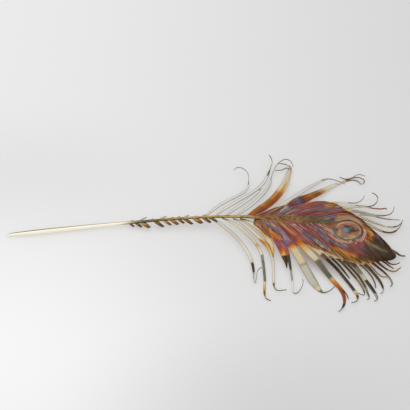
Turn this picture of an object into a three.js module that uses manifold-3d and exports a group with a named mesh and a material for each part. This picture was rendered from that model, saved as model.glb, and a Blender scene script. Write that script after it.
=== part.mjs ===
// A peacock feather made of steel, lying on a table: a forged shaft, an eye blade chased and slit
// from one sheet, and strips brazed under the shaft in front of it. Millimetres, +Z up.
// x runs from the quill's end towards the feather's tip, y away from the viewer, z up from the table.
import * as THREE from "three";
import { mergeVertices } from "three/addons/utils/BufferGeometryUtils.js";
import Module from "manifold-3d";

const wasm = await Module();
wasm.setup();

// ---- driving dimensions
const sheet = 0.6; // thickness of the vane's sheet and strips
const seam = 0.3; // gap left between two pieces that touch
const footprintMiddle = { x: 195, y: 4 }; // from the quill's end to the middle of the feather

// shaft: [x, y, underside z, half width, height] at each forged station
const shaftStations = [
  [0, 0.2, 0.7, 0.6, 1.4],
  [4, 0.6, 0.2, 1.4, 3.0],
  [16, 1.8, 0, 2.1, 4.3],
  [34, 3.9, 0, 2.5, 5.0],
  [56, 7.0, 0, 2.4, 4.8],
  [82, 10.2, 0.7, 2.1, 4.2],
  [112, 13.2, 2.1, 1.7, 3.4],
  [140, 15.2, 3.9, 1.4, 2.8],
  [172, 17.0, 5.9, 1.3, 2.5],
  [205, 17.6, 7.7, 1.3, 2.4],
  [234, 16.8, 9.0, 1.9, 2.4],
  [262, 15.4, 10.0, 2.8, 2.2],
  [288, 13.4, 10.6, 3.3, 2.0],
  [308, 11.0, 10.9, 3.3, 1.6],
  [322, 8.4, 11.0, 2.6, 1.1],
  [331, 6.2, 11.0, 1.0, 0.6],
];
const shaftSides = 12;

// the blade's own ridge carries the shaft's line on to the tip: [x, y, z]
const ridgeBeyondShaft = [
  [340, 3.2, 10.4],
  [355, -5.0, 8.9],
  [368, -15.5, 6.8],
  [378, -24.5, 5.2],
];

// blade: its two margins in plan, from the end over the shaft to the tip: [x, y]
const farMargin = [
  [244, 18.5], [252.5, 23], [261, 27.5], [270, 31.5], [280, 34], [288.5, 34.5], [297, 37],
  [305, 39.5], [313.5, 40], [321.5, 38], [328, 34.5], [335, 27], [342, 21], [349, 14.5],
  [355.5, 6], [362.5, -1], [369, -8.5], [375, -17], [379.5, -26.5],
];
const nearMargin = [
  [244, 14.5], [250.5, 7], [257, 0], [263, -7], [273, -12], [284, -17], [294, -18.5],
  [304, -20.5], [314, -24.5], [326, -31.5], [338, -36.5], [349, -38.5], [358, -37], [367, -35.5],
  [376, -34], [380.5, -30],
];
const bladeFrom = 244; // where the blade starts, along x
const bladeTip = { x: 380.5, y: -27 };
const crown = { drop: 3.6, at: 29 }; // how far the blade falls, and how far out from its ridge
const shingle = 0.35; // step from one chased barb to the next
const chasedBarbs = 18; // on each side
const rowsAcross = 3; // from the ridge to a margin
const barbSweep = 2.2; // above 1, a barb leaves the ridge behind the place where it ends
const raisedPart = 0.8; // the share of a chased barb's width that climbs to its step
const bow = { far: [0.1, 0.14], near: [-0.1, 0.14] }; // how barbs belly out, first and last
const ringsPerPoint = 2; // in a strip's length
const neverOnEdge = [99, 100]; // past the last point of any strip
const mergeWithin = 1e-4; // corners closer than this are one

// ---- lines and surfaces shared by the pieces
const ridgePoints = [
  ...shaftStations.slice(0, -1).map(([x, y, z]) => [x, y, z - seam - sheet / 2]),
  ...ridgeBeyondShaft,
];

// straight interpolation of the ridge's [y, z] at x
function ridgeAt(x) {
  let i = 1;
  while (i < ridgePoints.length - 1 && ridgePoints[i][0] < x) i++;
  const [a, b] = [ridgePoints[i - 1], ridgePoints[i]];
  const t = (x - a[0]) / (b[0] - a[0]);
  return { y: a[1] + (b[1] - a[1]) * t, z: a[2] + (b[2] - a[2]) * t };
}

// height of the blade's middle surface
function bladeHeight(x, y) {
  const ridge = ridgeAt(x);
  return ridge.z - crown.drop * ((y - ridge.y) / crown.at) ** 2;
}

// ---- solids
// Joins rings of equal point counts into one closed solid with flat ends. Each ring runs
// counter-clockwise for someone the loft comes towards.
function loft(rings) {
  const count = rings[0].length;
  const position = rings.flat().flatMap((p) => [p.x, p.y, p.z]);
  const index = [];
  for (let i = 0; i + 1 < rings.length; i++) {
    for (let j = 0; j < count; j++) {
      const k = (j + 1) % count;
      const [a, b] = [i * count + j, i * count + k];
      const [c, d] = [a + count, b + count];
      index.push(a, b, c, b, d, c);
    }
  }
  const last = (rings.length - 1) * count;
  for (let j = 1; j + 1 < count; j++) {
    index.push(0, j + 1, j);
    index.push(last, last + j, last + j + 1);
  }
  return new THREE.BufferGeometry()
    .setAttribute("position", new THREE.Float32BufferAttribute(position, 3))
    .setIndex(index);
}

function solidFrom(geometry) {
  const merged = mergeVertices(geometry, mergeWithin);
  return new wasm.Manifold(
    new wasm.Mesh({
      numProp: 3,
      vertProperties: merged.attributes.position.array,
      triVerts: new Uint32Array(merged.index.array),
    }),
  );
}

function geometryFrom(solid) {
  const mesh = solid.getMesh();
  return new THREE.BufferGeometry()
    .setAttribute("position", new THREE.BufferAttribute(mesh.vertProperties, 3))
    .setIndex(new THREE.BufferAttribute(mesh.triVerts, 1));
}

function joined(solids) {
  return solids.reduce((whole, next) => whole.add(next));
}

// A strip of sheet along its points [x, y, z, width]. Without a z a point lies under the blade,
// half let into its sheet.
// Between the two points named by onEdge the strip twists from flat to standing on its edge.
function strip({ points, onEdge = neverOnEdge }) {
  const filled = points.map(([x, y, z, wide]) =>
    wide === undefined ? [x, y, bladeHeight(x, y) - sheet / 2, z] : [x, y, z, wide],
  );
  const curve = new THREE.CatmullRomCurve3(
    filled.map(([x, y, z]) => new THREE.Vector3(x, y, z)),
    false,
    "centripetal",
  );
  const steps = (points.length - 1) * ringsPerPoint;
  const up = new THREE.Vector3(0, 0, 1);
  const rings = [];
  for (let i = 0; i <= steps; i++) {
    const at = i / ringsPerPoint;
    const near = Math.min(Math.floor(at), points.length - 2);
    const wide = THREE.MathUtils.lerp(filled[near][3], filled[near + 1][3], at - near);
    const roll = (THREE.MathUtils.smoothstep(at, ...onEdge) * Math.PI) / 2;
    const along = curve.getTangent(i / steps);
    const across = new THREE.Vector3().crossVectors(along, up).normalize();
    across.applyAxisAngle(along, roll);
    const normal = new THREE.Vector3().crossVectors(across, along);
    const centre = curve.getPoint(i / steps);
    const reach = (Math.abs(across.z) * wide + Math.abs(normal.z) * sheet) / 2;
    centre.z = Math.max(centre.z, reach); // nothing goes below the table
    const corner = (side, face) =>
      centre
        .clone()
        .addScaledVector(across, (side * wide) / 2)
        .addScaledVector(normal, (face * sheet) / 2);
    rings.push([corner(1, -1), corner(-1, -1), corner(-1, 1), corner(1, 1)]);
  }
  return solidFrom(loft(rings));
}

// ---- shaft
function shaftRod() {
  const half = Math.PI / shaftSides; // turns the section so that a flat faces down
  const rings = shaftStations.map(([x, y, z, wide, high]) => {
    const flatScale = Math.cos(half);
    return Array.from({ length: shaftSides }, (_, j) => {
      const angle = -Math.PI / 2 + half + (j * 2 * Math.PI) / shaftSides;
      return new THREE.Vector3(
        x,
        y + wide * Math.cos(angle),
        z + (high / 2) * (1 + Math.sin(angle) / flatScale),
      );
    });
  });
  return solidFrom(loft(rings));
}

// snipped barbs along the bare shaft: [x at the root, length, width], near side then far side
const nearStubs = [
  [120, 5, 2.4], [126, 6.5, 3], [132, 8.5, 4.4], [145, 9, 3.6], [154, 7.5, 3], [161, 7.5, 4],
  [168, 6.5, 3], [174, 8.5, 3.6], [184, 8, 4.8], [193, 7.5, 3.4], [200, 6.5, 2.8],
];
const farStubs = [
  [118, 5.5, 1.2], [128, 8.5, 1.6], [139, 4.5, 1.4], [149, 7, 2], [159, 4.5, 1.4],
  [165, 5, 1.4], [173, 5.5, 1.8], [183, 4, 1.2], [190, 5.5, 1.6],
];

const stubSweep = 0.72; // the share of a stub's length that it goes along, and out from, the shaft
const stubLift = 1.1; // from the shaft's underside up to a stub's root
const stubDroop = 0.9; // from a stub's root down to its end
const stubTaper = 0.8; // the width of its root and its end, beside its middle

function stub([x, long, wide], side) {
  const root = ridgeAt(x);
  const z = root.z + seam + sheet / 2 + stubLift;
  const reach = long * stubSweep;
  return strip({
    points: [
      [x, root.y, z, wide * stubTaper],
      [x + reach / 2, root.y + (side * reach) / 2, z - stubDroop / 4, wide],
      [x + reach, root.y + side * reach, z - stubDroop, wide * stubTaper],
    ],
  });
}

function shaft() {
  return joined([
    shaftRod(),
    ...nearStubs.map((row) => stub(row, -1)),
    ...farStubs.map((row) => stub(row, 1)),
  ]);
}

// ---- blade
// A point of the blade in plan: b runs along it, v along the barb from the ridge to the margin.
function bladePoint(margin, b, v) {
  const rootX = THREE.MathUtils.lerp(bladeFrom, bladeTip.x, b ** barbSweep);
  const root = new THREE.Vector3(rootX, ridgeAt(rootX).y, 0);
  const end = margin.curve.getPoint(b);
  const chord = end.clone().sub(root);
  const outward = new THREE.Vector3(-chord.y, chord.x, 0).multiplyScalar(margin.side);
  const belly = THREE.MathUtils.lerp(...margin.bow, b);
  const middle = root.clone().lerp(end, 0.5).addScaledVector(outward, belly);
  return new THREE.QuadraticBezierCurve3(root, middle, end).getPoint(v);
}

function marginOf(rows, side, bow) {
  const curve = new THREE.CatmullRomCurve3(rows.map(([x, y]) => new THREE.Vector3(x, y, 0)));
  return { curve, side, bow };
}

function bladeSheet() {
  const margins = [marginOf(farMargin, 1, bow.far), marginOf(nearMargin, -1, bow.near)];
  const rings = [];
  const columns = chasedBarbs * 2;
  for (let i = 0; i <= columns; i++) {
    const barb = Math.min(Math.floor(i / 2), chasedBarbs - 1);
    const onStep = i % 2; // each barb starts low and ends high, over the next one
    const b = (barb + (i === columns ? 1 : onStep * raisedPart)) / chasedBarbs;
    const line = [];
    for (let r = rowsAcross; r >= 1; r--) line.push([margins[0], r / rowsAcross]);
    for (let r = 0; r <= rowsAcross; r++) line.push([margins[1], r / rowsAcross]);
    const over = line.map(([margin, v]) => {
      const p = bladePoint(margin, b, v);
      return new THREE.Vector3(p.x, p.y, bladeHeight(p.x, p.y));
    });
    const lift = (p, dz) => new THREE.Vector3(p.x, p.y, p.z + dz);
    const raised = sheet / 2 + (onStep ? shingle / 2 : -shingle / 2);
    const top = over.map((p, k) => lift(p, k === rowsAcross ? sheet / 2 : raised));
    const under = over.map((p) => lift(p, -sheet / 2)).reverse();
    rings.push([...top, ...under]);
  }
  return solidFrom(loft(rings));
}

// strips slit from the far margin, from the shaft to the tip
const farFringe = [
  {
    onEdge: [5, 6],
    points: [
      [255, 19, 3], [265, 28, 4.4], [280, 41.5, 6.4, 4.8], [292, 53.5, 4.4, 4.2],
      [303, 63, 3.2, 3.4], [312.5, 70, 2.6, 2.4], [320, 72, 3, 1.5], [328, 69.5, 3.4, 1.1],
      [336, 64, 4.4, 0.9],
    ],
  },
  {
    onEdge: [7, 8],
    points: [
      [268, 19, 8], [276.5, 27, 9.5], [287, 37.5, 7.4, 12], [297.5, 45, 5.6, 9.6],
      [308, 52.5, 3.7, 7.5], [318, 60, 2, 5.5], [327, 66, 1, 3.4], [338, 72, 0.6, 2],
      [345, 76, 1, 1.3], [351, 79, 2, 1], [357, 75, 4, 0.8],
    ],
  },
  {
    points: [
      [330, 67.5, 0.8, 1.2], [338, 72, 0.9, 1.4], [346, 75, 1.6, 1.1], [352, 74, 2.4, 1],
      [356, 69, 3.4, 1], [354, 64, 4.4, 0.8],
    ],
  },
  {
    points: [
      [330, 67, 0.7, 1.2], [338, 71, 0.6, 1.3], [344, 72.5, 0.7, 1.1], [349, 71, 1, 1],
      [353, 66, 1.6, 0.8],
    ],
  },
  { points: [[343, 75, 1, 0.9], [340, 73.5, 1.2, 1.1], [336, 73, 2, 1], [331, 74, 3.4, 0.8]] },
  {
    onEdge: [3, 4],
    points: [
      [311.5, 35.5, 3], [320.5, 37, 3], [327.5, 38.5, 5.8, 2.4], [334.5, 38.5, 5.8, 1.7],
      [340.5, 38, 5.8, 1.4], [345.5, 38, 5.8, 1.2], [349.5, 40, 5.8, 1.1], [352.5, 43, 5.9, 1],
      [354.5, 47.5, 6.4, 0.8],
    ],
  },
  {
    onEdge: [4, 5],
    points: [
      [317, 31, 3], [325, 32, 3], [332, 34, 6.4, 2.6], [341.5, 35, 6, 1.8], [350, 34.5, 5.4, 1.4],
      [357, 34, 4.9, 1.3], [362, 35.5, 4.7, 1.2], [365, 38, 4.6, 1.3], [367.5, 42.5, 4.6, 1.3],
      [367.5, 46.5, 5, 1.2], [365.5, 49, 5.8, 1], [362, 50.5, 6.6, 0.8],
    ],
  },
  {
    points: [
      [324, 27.5, 3], [334, 29.5, 2.6], [344, 32, 6.2, 1.8], [353, 33, 5.4, 1.5],
      [359, 32.5, 4.9, 1.5], [365, 31.5, 4.6, 1.5], [371, 31.5, 4.4, 1.4], [374.5, 32, 4.4, 1.2],
      [376, 30.5, 4.4, 0.8],
    ],
  },
  {
    onEdge: [5, 6],
    points: [
      [326.5, 24.5, 3], [335.5, 26, 3.4], [344.5, 26.5, 6.6, 3.2], [352.5, 25.5, 5.6, 2.8],
      [359.5, 24, 4.8, 2.2], [367.5, 23, 4.2, 1.7], [375, 23.5, 4, 1.4], [379.5, 25.5, 4.4, 1.3],
      [382, 28.5, 5, 1.1], [383, 33, 6.4, 0.8],
    ],
  },
  {
    points: [
      [333.5, 21.5, 3], [342.5, 21.5, 3], [352.5, 22.5, 6, 2.4], [361.5, 21.5, 5.2, 1.8],
      [369, 19.5, 4.7, 1.5], [377, 18, 4.4, 1.4], [387.5, 17.5, 4, 0.9],
    ],
  },
  {
    onEdge: [6, 7],
    points: [
      [337, 19, 3], [345, 18.5, 3.6], [352, 17, 6.6, 3.4], [359, 14.5, 5.2, 2.8],
      [365.5, 12.5, 3.9, 2.2], [372.5, 10.5, 2.9, 1.8], [379.5, 10, 2.2, 1.6],
      [385, 11, 2.4, 1.5], [388.5, 13.5, 3.4, 1.3], [390.5, 17, 4.6, 1],
    ],
  },
  {
    onEdge: [6, 7],
    points: [
      [342, 14, 3], [348.5, 12, 3.6], [355.5, 10, 6.2, 3.4], [362, 6.5, 5, 3], [367.5, 4, 4, 2.6],
      [373.5, 2.5, 3, 2.3], [379.5, 3, 2.6, 2.1], [384.5, 6, 3, 1.8], [388, 10.5, 4, 1.2],
      [389.5, 14, 4.6, 0.9],
    ],
  },
];

// the ridge ends in one stiff barb past the tip
const tipBarb = {
  points: [
    [366, -14, 2], [374, -20, 2.4], [380, -24, 5.2, 2.6], [384.5, -27.5, 4.6, 2.2],
    [389.5, -28.5, 4.6, 1.6],
  ],
};

// strips slit from the near margin, from the shaft to the tip
const nearFringe = [
  {
    points: [
      [257, 6, 5], [263, -4.5, 8], [267, -13, 6.4, 8.4], [270, -21, 5.7, 7.4], [272, -29, 5, 6],
      [273.5, -36, 4.4, 3.2], [274, -42.5, 3.8, 0.8],
    ],
  },
  {
    onEdge: [6, 8],
    points: [
      [268, -9.5, 4], [273.5, -20, 6, 4.6], [276, -31, 5, 3.4], [277.5, -42, 3.6, 2.4],
      [278.5, -53, 2, 1.9], [279, -63, 0.9, 1.5], [279, -68.5, 0.8, 1.2], [281.5, -71, 1, 1.1],
      [285, -69, 2.2, 1.1], [288, -64, 3.6, 1], [289, -59, 5, 0.9], [288, -57, 5.8, 0.8],
    ],
  },
  {
    onEdge: [5.4, 6.6],
    points: [
      [273, -8.5, 6], [281, -20, 6.4, 7.8], [287.5, -33, 4.8, 8.2], [294, -47, 2.6, 8.4],
      [299.5, -58, 1, 7.6], [304, -65.5, 0.3, 4.8], [308, -69.5, 0.5, 1.6], [314, -68.5, 2, 1.3],
      [320, -64, 4, 1],
    ],
  },
  {
    onEdge: [7.4, 8.6],
    points: [
      [284, -10.5, 6], [294, -22, 6.4, 7.2], [303.5, -34, 5, 6.4], [311.5, -47, 3.4, 5.4],
      [318.5, -57, 1.8, 4.8], [324.5, -65, 0.6, 4.2], [327.5, -74, 0.3, 3.4],
      [327.5, -82, 0.4, 2.6], [325, -88.5, 1.2, 1.6], [321.5, -93.5, 2.4, 0.8],
    ],
  },
  {
    points: [
      [317, -56, 2, 1.2], [322, -59.5, 1.6, 1.6], [326.5, -66, 1.4, 1.4], [330, -72.5, 1.6, 1.2],
      [331.5, -78.5, 2.4, 0.8],
    ],
  },
  {
    onEdge: [6.6, 7.6],
    points: [
      [296, -15, 4], [306, -23.5, 4.4], [314, -34, 5.4, 3.2], [322, -43.5, 4.2, 2.9],
      [329.5, -54.5, 2.6, 2.8], [336.5, -65, 1, 2.6], [340, -72, 0.4, 2.3],
      [340.5, -76.5, 0.6, 1.7], [339, -80.5, 1.4, 1.2], [334, -83.5, 3, 0.8],
    ],
  },
  {
    points: [
      [306, -21, 2.4], [315, -27.5, 2.4], [322, -36.5, 4.8, 2], [327.5, -44, 3.9, 1.9],
      [334, -54, 2.4, 0.8],
    ],
  },
  {
    onEdge: [5, 6],
    points: [
      [313, -24, 2.8], [322.5, -30, 2.8], [329.5, -39.5, 4.6, 2.2], [336.5, -49, 3.4, 2],
      [343, -58.5, 2, 1.8], [346.5, -66, 0.9, 1.4], [347.5, -71.5, 0.7, 1.2],
      [345.5, -73, 1.4, 1], [341, -72, 3, 0.8],
    ],
  },
  {
    onEdge: [5, 6],
    points: [
      [319, -26, 2.8], [328.5, -32.5, 2.8], [336, -42.5, 4.2, 2.3], [343.5, -53, 2.7, 2],
      [348.5, -63.5, 1.3, 1.9], [350.5, -70.5, 0.6, 1.5], [351.5, -76, 0.8, 1.2],
      [349.5, -79, 2, 0.8],
    ],
  },
  {
    onEdge: [5.4, 6.4],
    points: [
      [327, -29.5, 3.8], [336, -35, 4], [343, -45.5, 4, 3.6], [349, -55.5, 2.5, 3],
      [354.5, -64.5, 1.2, 2.8], [358, -71.5, 0.5, 2.3], [359, -77.5, 0.8, 1.6],
      [356, -81, 2, 0.9],
    ],
  },
  {
    points: [
      [335, -33, 2.6], [344, -37.5, 2.2], [350.5, -44.5, 3.4, 1.5], [355.5, -52.5, 2.5, 1.3],
      [358, -59.5, 1.7, 1.1], [358.5, -64.5, 1.2, 0.8],
    ],
  },
  {
    onEdge: [3.4, 4.4],
    points: [
      [342, -33.5, 3], [351, -39.5, 3], [358, -49, 3, 2.7], [363, -57, 1.7, 2.2],
      [365.5, -64.5, 0.9, 1.6], [365, -69, 1, 1.2], [362.5, -72, 2, 0.8],
    ],
  },
  {
    points: [
      [349, -34, 2], [357, -42, 3.4, 1.2], [361, -48, 2.9, 1.1], [365.5, -52, 2.6, 1],
      [370.5, -53, 3.4, 0.8],
    ],
  },
  {
    points: [
      [353, -33, 3], [362, -41.5, 3.9, 2.2], [368, -47.5, 3, 1.7], [373, -54, 1.8, 1.4],
      [374.5, -60, 1.6, 1.2], [372.5, -64, 2.6, 0.8],
    ],
  },
  {
    points: [
      [358, -32, 3], [366, -40, 4.1, 1.9], [371.5, -44.5, 3.4, 1.5], [378, -46, 3.2, 1.3],
      [384, -42, 4.4, 0.9],
    ],
  },
  { points: [[364, -32, 2], [371, -38, 4, 1.4], [377, -43, 3.4, 0.8]] },
  {
    points: [
      [368, -32, 2], [374, -37.5, 4.2, 1.4], [379, -38, 4, 1.1], [383.5, -36.5, 4.6, 0.8],
    ],
  },
];

function blade() {
  return joined([
    bladeSheet(),
    ...[...farFringe, tipBarb, ...nearFringe].map(strip),
  ]);
}

// ---- strips brazed under the bare shaft, in front of the blade
const farStrips = [
  {
    onEdge: [6, 7],
    points: [
      [194.5, 18.5, 6.5, 1.2], [201, 26, 6.6, 2.8], [209, 34, 6.3, 3.2], [217.5, 41, 5.8, 3.2],
      [228, 48.5, 4.8, 3], [235, 55, 3.8, 2.6], [238.5, 62, 3.2, 1.8], [239, 68.5, 3.1, 1.4],
      [239, 76.5, 3.6, 1.2], [236, 82.5, 4.6, 1.2], [230.5, 85, 5.8, 1.1], [226.5, 83.5, 6.6, 1],
      [224.5, 80, 7.4, 0.8],
    ],
  },
  {
    onEdge: [6, 7],
    points: [
      [203.5, 18.5, 7, 1.2], [213.5, 28.5, 6.8, 2.8], [224.5, 38, 6.1, 3.2],
      [235, 46.5, 5.1, 3.2], [246.5, 57, 3.9, 3.2], [254, 67, 2.7, 3], [258.5, 77.5, 2.2, 2.4],
      [261.5, 86.5, 2.6, 1.8], [263.5, 94, 3.6, 1.5], [262.5, 98.5, 5, 1.2], [260.5, 101, 7, 0.8],
    ],
  },
  {
    points: [
      [214, 18, 7.5, 1.2], [223.5, 28, 6.9, 2.6], [233, 37, 6, 3], [242, 46.5, 5.2, 3],
      [248.5, 54, 4.9, 2.4], [251.5, 57.5, 4.9, 1.2],
    ],
  },
  {
    onEdge: [5, 6],
    points: [
      [224, 17.5, 7.9, 1.2], [233.5, 27, 7.2, 2.8], [242.5, 36, 6.3, 3.2], [250, 46, 5.1, 3.2],
      [257, 57.5, 3.6, 2.8], [261, 67.5, 2.2, 2.2], [262.5, 76.5, 1.6, 1.7], [265, 84.5, 2, 1.5],
      [268.5, 91.5, 2.8, 1.4], [273, 96, 3.6, 1.3], [277.5, 97.5, 4.4, 1.3], [282, 94, 5.4, 1.2],
      [284.5, 85.5, 6.6, 1],
    ],
  },
  {
    onEdge: [9, 10],
    points: [
      [236.5, 18.5, 7.6, 3], [243.5, 23.5, 7.5, 7], [250.5, 29, 7.3, 9.2],
      [256.5, 34.5, 6.8, 9.4], [263, 42, 6, 9.2], [269.5, 52.5, 4.8, 8.8], [275.5, 65, 3.2, 7.6],
      [279, 78, 1.6, 5.8], [281.5, 86, 0.8, 3.8], [281.5, 90.5, 0.8, 2], [277, 92, 2.6, 1.2],
      [269.5, 91.5, 5, 0.9],
    ],
  },
];
// the widest far strip is slit near its end: the sliver it sheds curls back under it
const sliver = {
  points: [
    [281, 80, 1, 1.2], [281, 86, 0.6, 1.3], [278.5, 88, 1.6, 1.1], [273, 84, 3.2, 1],
    [266, 81.5, 5, 0.8],
  ],
};

const nearStrips = [
  {
    onEdge: [7.6, 8.6],
    points: [
      [199, 17.5, 6.7, 1.4], [206.5, 13.5, 6.7, 2.8], [214.5, 6, 6.2, 3.4],
      [222.5, -1.5, 5.5, 3.6], [229, -10, 4.7, 3.6], [234.5, -18.5, 3.8, 3.4],
      [238.5, -27, 3.1, 3.2], [241, -37, 2.4, 2.8], [242, -46, 1.8, 2.2], [242, -53.5, 1.4, 1.6],
      [243, -58.5, 1.6, 1.4], [244.5, -53.5, 3.2, 1.2], [245.5, -47, 4.2, 1.1],
      [248, -43.5, 5, 1], [251.5, -43.5, 5.8, 0.8],
    ],
  },
  {
    onEdge: [11.4, 12.6],
    points: [
      [212, 17, 7.4, 1.4], [220.5, 12.5, 7.2, 2.8], [228, 7, 6.9, 3.2], [233.5, 1.5, 6.5, 3.6],
      [238.5, -4.5, 5.9, 3.6], [243.5, -11.5, 5.2, 3.6], [247.5, -18.5, 4.4, 3.2],
      [250, -25, 3.6, 3], [251, -32, 2.8, 2.8], [252, -43, 1.6, 2.6], [252.5, -55, 0.8, 2.4],
      [252, -65, 0.4, 2.4], [252, -72, 0.5, 1.8], [253.5, -77, 1, 1.3], [257.5, -80.5, 2.2, 0.9],
    ],
  },
  {
    onEdge: [11, 12],
    points: [
      [222.5, 16, 7.9, 1.4], [229.5, 12.5, 7.6, 2.8], [235.5, 7.5, 7.2, 3.6],
      [241.5, 1.5, 6.6, 4], [247, -5, 5.9, 4.2], [251.5, -10, 5.2, 4.4], [256, -16, 4.5, 4.4],
      [259, -23, 3.9, 4], [260.5, -30.5, 3.2, 3.2], [261, -39, 2.4, 2.6], [261, -49, 1.4, 2.4],
      [261, -57.5, 0.7, 2.2], [261.5, -63.5, 0.8, 1.6], [264, -67.5, 1.6, 1.2],
      [273, -68.5, 3.6, 0.9],
    ],
  },
  {
    points: [
      [229.5, 15.5, 8.1, 2], [236, 13, 7.9, 3.4], [241.5, 9.5, 7.6, 4.6], [247.5, 4.5, 7.2, 5.4],
      [252, -0.5, 6.8, 5.6], [255.5, -5.5, 6.4, 5.4], [258, -10.5, 6, 5], [260, -16, 5.6, 4.2],
      [261, -22, 5.2, 2.8], [261.5, -28.5, 4.9, 1],
    ],
  },
];

// ---- the feather
const steel = (colour, roughness) =>
  new THREE.MeshStandardMaterial({ color: colour, metalness: 1, roughness });
const brightSteel = steel(0xe9e2c8, 0.18);
const temperedSteel = steel(0x8a5a4a, 0.25);
const strawSteel = steel(0xd8cba6, 0.22);

function piece(name, solid, material) {
  const geometry = geometryFrom(solid);
  geometry.computeVertexNormals();
  const mesh = new THREE.Mesh(geometry, material);
  mesh.name = name;
  return mesh;
}

const feather = new THREE.Group();
feather.add(piece("shaft", shaft(), brightSteel));
feather.add(piece("blade", blade(), temperedSteel));
farStrips.forEach((row, i) => {
  const solids = row === farStrips.at(-1) ? [strip(row), strip(sliver)] : [strip(row)];
  feather.add(piece("barb_far_" + (i + 1), joined(solids), strawSteel));
});
nearStrips.forEach((row, i) => feather.add(piece("barb_near_" + (i + 1), strip(row), strawSteel)));
feather.position.set(-footprintMiddle.x, -footprintMiddle.y, 0);

export default feather;
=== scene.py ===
import math

import bpy
import numpy as np
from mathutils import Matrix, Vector


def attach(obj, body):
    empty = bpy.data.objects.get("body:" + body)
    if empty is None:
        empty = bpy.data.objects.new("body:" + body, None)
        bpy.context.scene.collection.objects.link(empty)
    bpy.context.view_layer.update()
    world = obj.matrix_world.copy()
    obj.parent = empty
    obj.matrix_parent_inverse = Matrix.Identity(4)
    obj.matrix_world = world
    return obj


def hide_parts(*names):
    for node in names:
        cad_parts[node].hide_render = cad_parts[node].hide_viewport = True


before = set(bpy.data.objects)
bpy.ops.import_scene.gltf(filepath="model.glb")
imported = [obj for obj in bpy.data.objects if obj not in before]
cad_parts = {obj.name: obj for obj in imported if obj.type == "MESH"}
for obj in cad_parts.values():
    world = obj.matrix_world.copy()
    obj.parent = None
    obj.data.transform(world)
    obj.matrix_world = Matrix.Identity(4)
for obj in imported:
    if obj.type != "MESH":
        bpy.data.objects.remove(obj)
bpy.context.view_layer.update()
chance = np.random.default_rng(23)  # one seed for every random streak

# Places below are millimetres: x from the quill's end to the tip, y to the far side, z up.
frameMiddle = np.array([195.0, 4.0, 0.0])


def inFrame(places):
    return (np.asarray(places, float) - frameMiddle) / 1000


def smoothStep(low, high, value):
    t = np.clip((value - low) / (high - low), 0, 1)
    return t * t * (3 - 2 * t)


cameraView = {
    "aim": (195, 40.2, 0),
    "above": 50,  # degrees over the table
    "away": 1600,
    "halfWidth": 205,  # half of what it sees across the aim
    "sensor": 36,
    "farthest": 30,  # metres
}


def addCamera(view):
    data = bpy.data.cameras.new("camera")
    data.sensor_width = view["sensor"]
    data.lens = view["sensor"] / 2 * view["away"] / view["halfWidth"]
    data.clip_end = view["farthest"]
    camera = bpy.data.objects.new("camera", data)
    bpy.context.scene.collection.objects.link(camera)
    tilt = math.radians(view["above"])
    back = np.array([0, -math.cos(tilt), math.sin(tilt)]) * view["away"]
    camera.location = inFrame(np.array(view["aim"]) + back)
    camera.rotation_euler = (math.radians(90) - tilt, 0, 0)
    bpy.context.scene.camera = camera


addCamera(cameraView)
print("camera set")

# Steel runs through these tints in this order as a flame heats it.
temperScale = [
    "silver", "bone", "straw", "gold", "amber", "russet", "plum", "violet", "slate", "teal", "sage",
]
tints = {
    "silver": (212, 209, 202), "bone": (207, 201, 184), "straw": (202, 188, 158), "gold": (197, 154, 84),
    "amber": (184, 106, 34), "russet": (158, 78, 44), "plum": (138, 62, 70), "violet": (122, 92, 122),
    "slate": (98, 108, 124), "teal": (100, 126, 122), "sage": (168, 174, 154),
    # oxides and bare steel that don't lie on that scale; some also serve as painted dark reflections and
    # painted highlights
    "cream": (252, 246, 226), "pearl": (222, 212, 198), "tan": (196, 168, 126), "brass": (186, 162, 108),
    "honey": (192, 134, 44), "blush": (210, 160, 138), "salmon": (204, 122, 80), "fawn": (170, 122, 90),
    "mauve": (148, 112, 100), "lilac": (152, 138, 152), "steel": (120, 142, 154), "bronze": (148, 112, 60),
    "olive": (88, 78, 50), "moss": (80, 82, 68), "pewter": (112, 108, 94), "ink": (64, 66, 70),
    "umber": (80, 52, 36), "char": (60, 53, 43), "soot": (46, 37, 27),
}


def colourOf(name):
    return np.array(tints[name]) / 255


def toLinear(rgb):
    rgb = np.clip(rgb, 0, 1)
    return np.where(rgb < 0.04045, rgb / 12.92, ((rgb + 0.055) / 1.055) ** 2.4)


def temperColour(heat):
    # heat counts steps along the temper scale
    scale = np.array([colourOf(name) for name in temperScale])
    steps = np.arange(len(scale))
    return np.stack([np.interp(heat, steps, scale[:, k]) for k in range(3)], -1)


def blend(rgb, name, amount):
    return rgb + (colourOf(name) - rgb) * np.clip(amount, 0, 1)[..., None]


latticeSize = 128
lattice = chance.random((latticeSize, latticeSize)) * 2 - 1


def streaks(along, across, long, wide):
    # smooth random streaks from -1 to 1, each about long by wide millimetres
    u, v = np.broadcast_arrays(np.asarray(along) / long, np.asarray(across) / wide)
    i, j = np.floor(u).astype(int), np.floor(v).astype(int)
    s, t = smoothStep(0, 1, u - i), smoothStep(0, 1, v - j)
    row, nextRow = i % latticeSize, (i + 1) % latticeSize
    column, nextColumn = j % latticeSize, (j + 1) % latticeSize
    first = lattice[row, column] * (1 - s) + lattice[nextRow, column] * s
    second = lattice[row, nextColumn] * (1 - s) + lattice[nextRow, nextColumn] * s
    return first * (1 - t) + second * t


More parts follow.
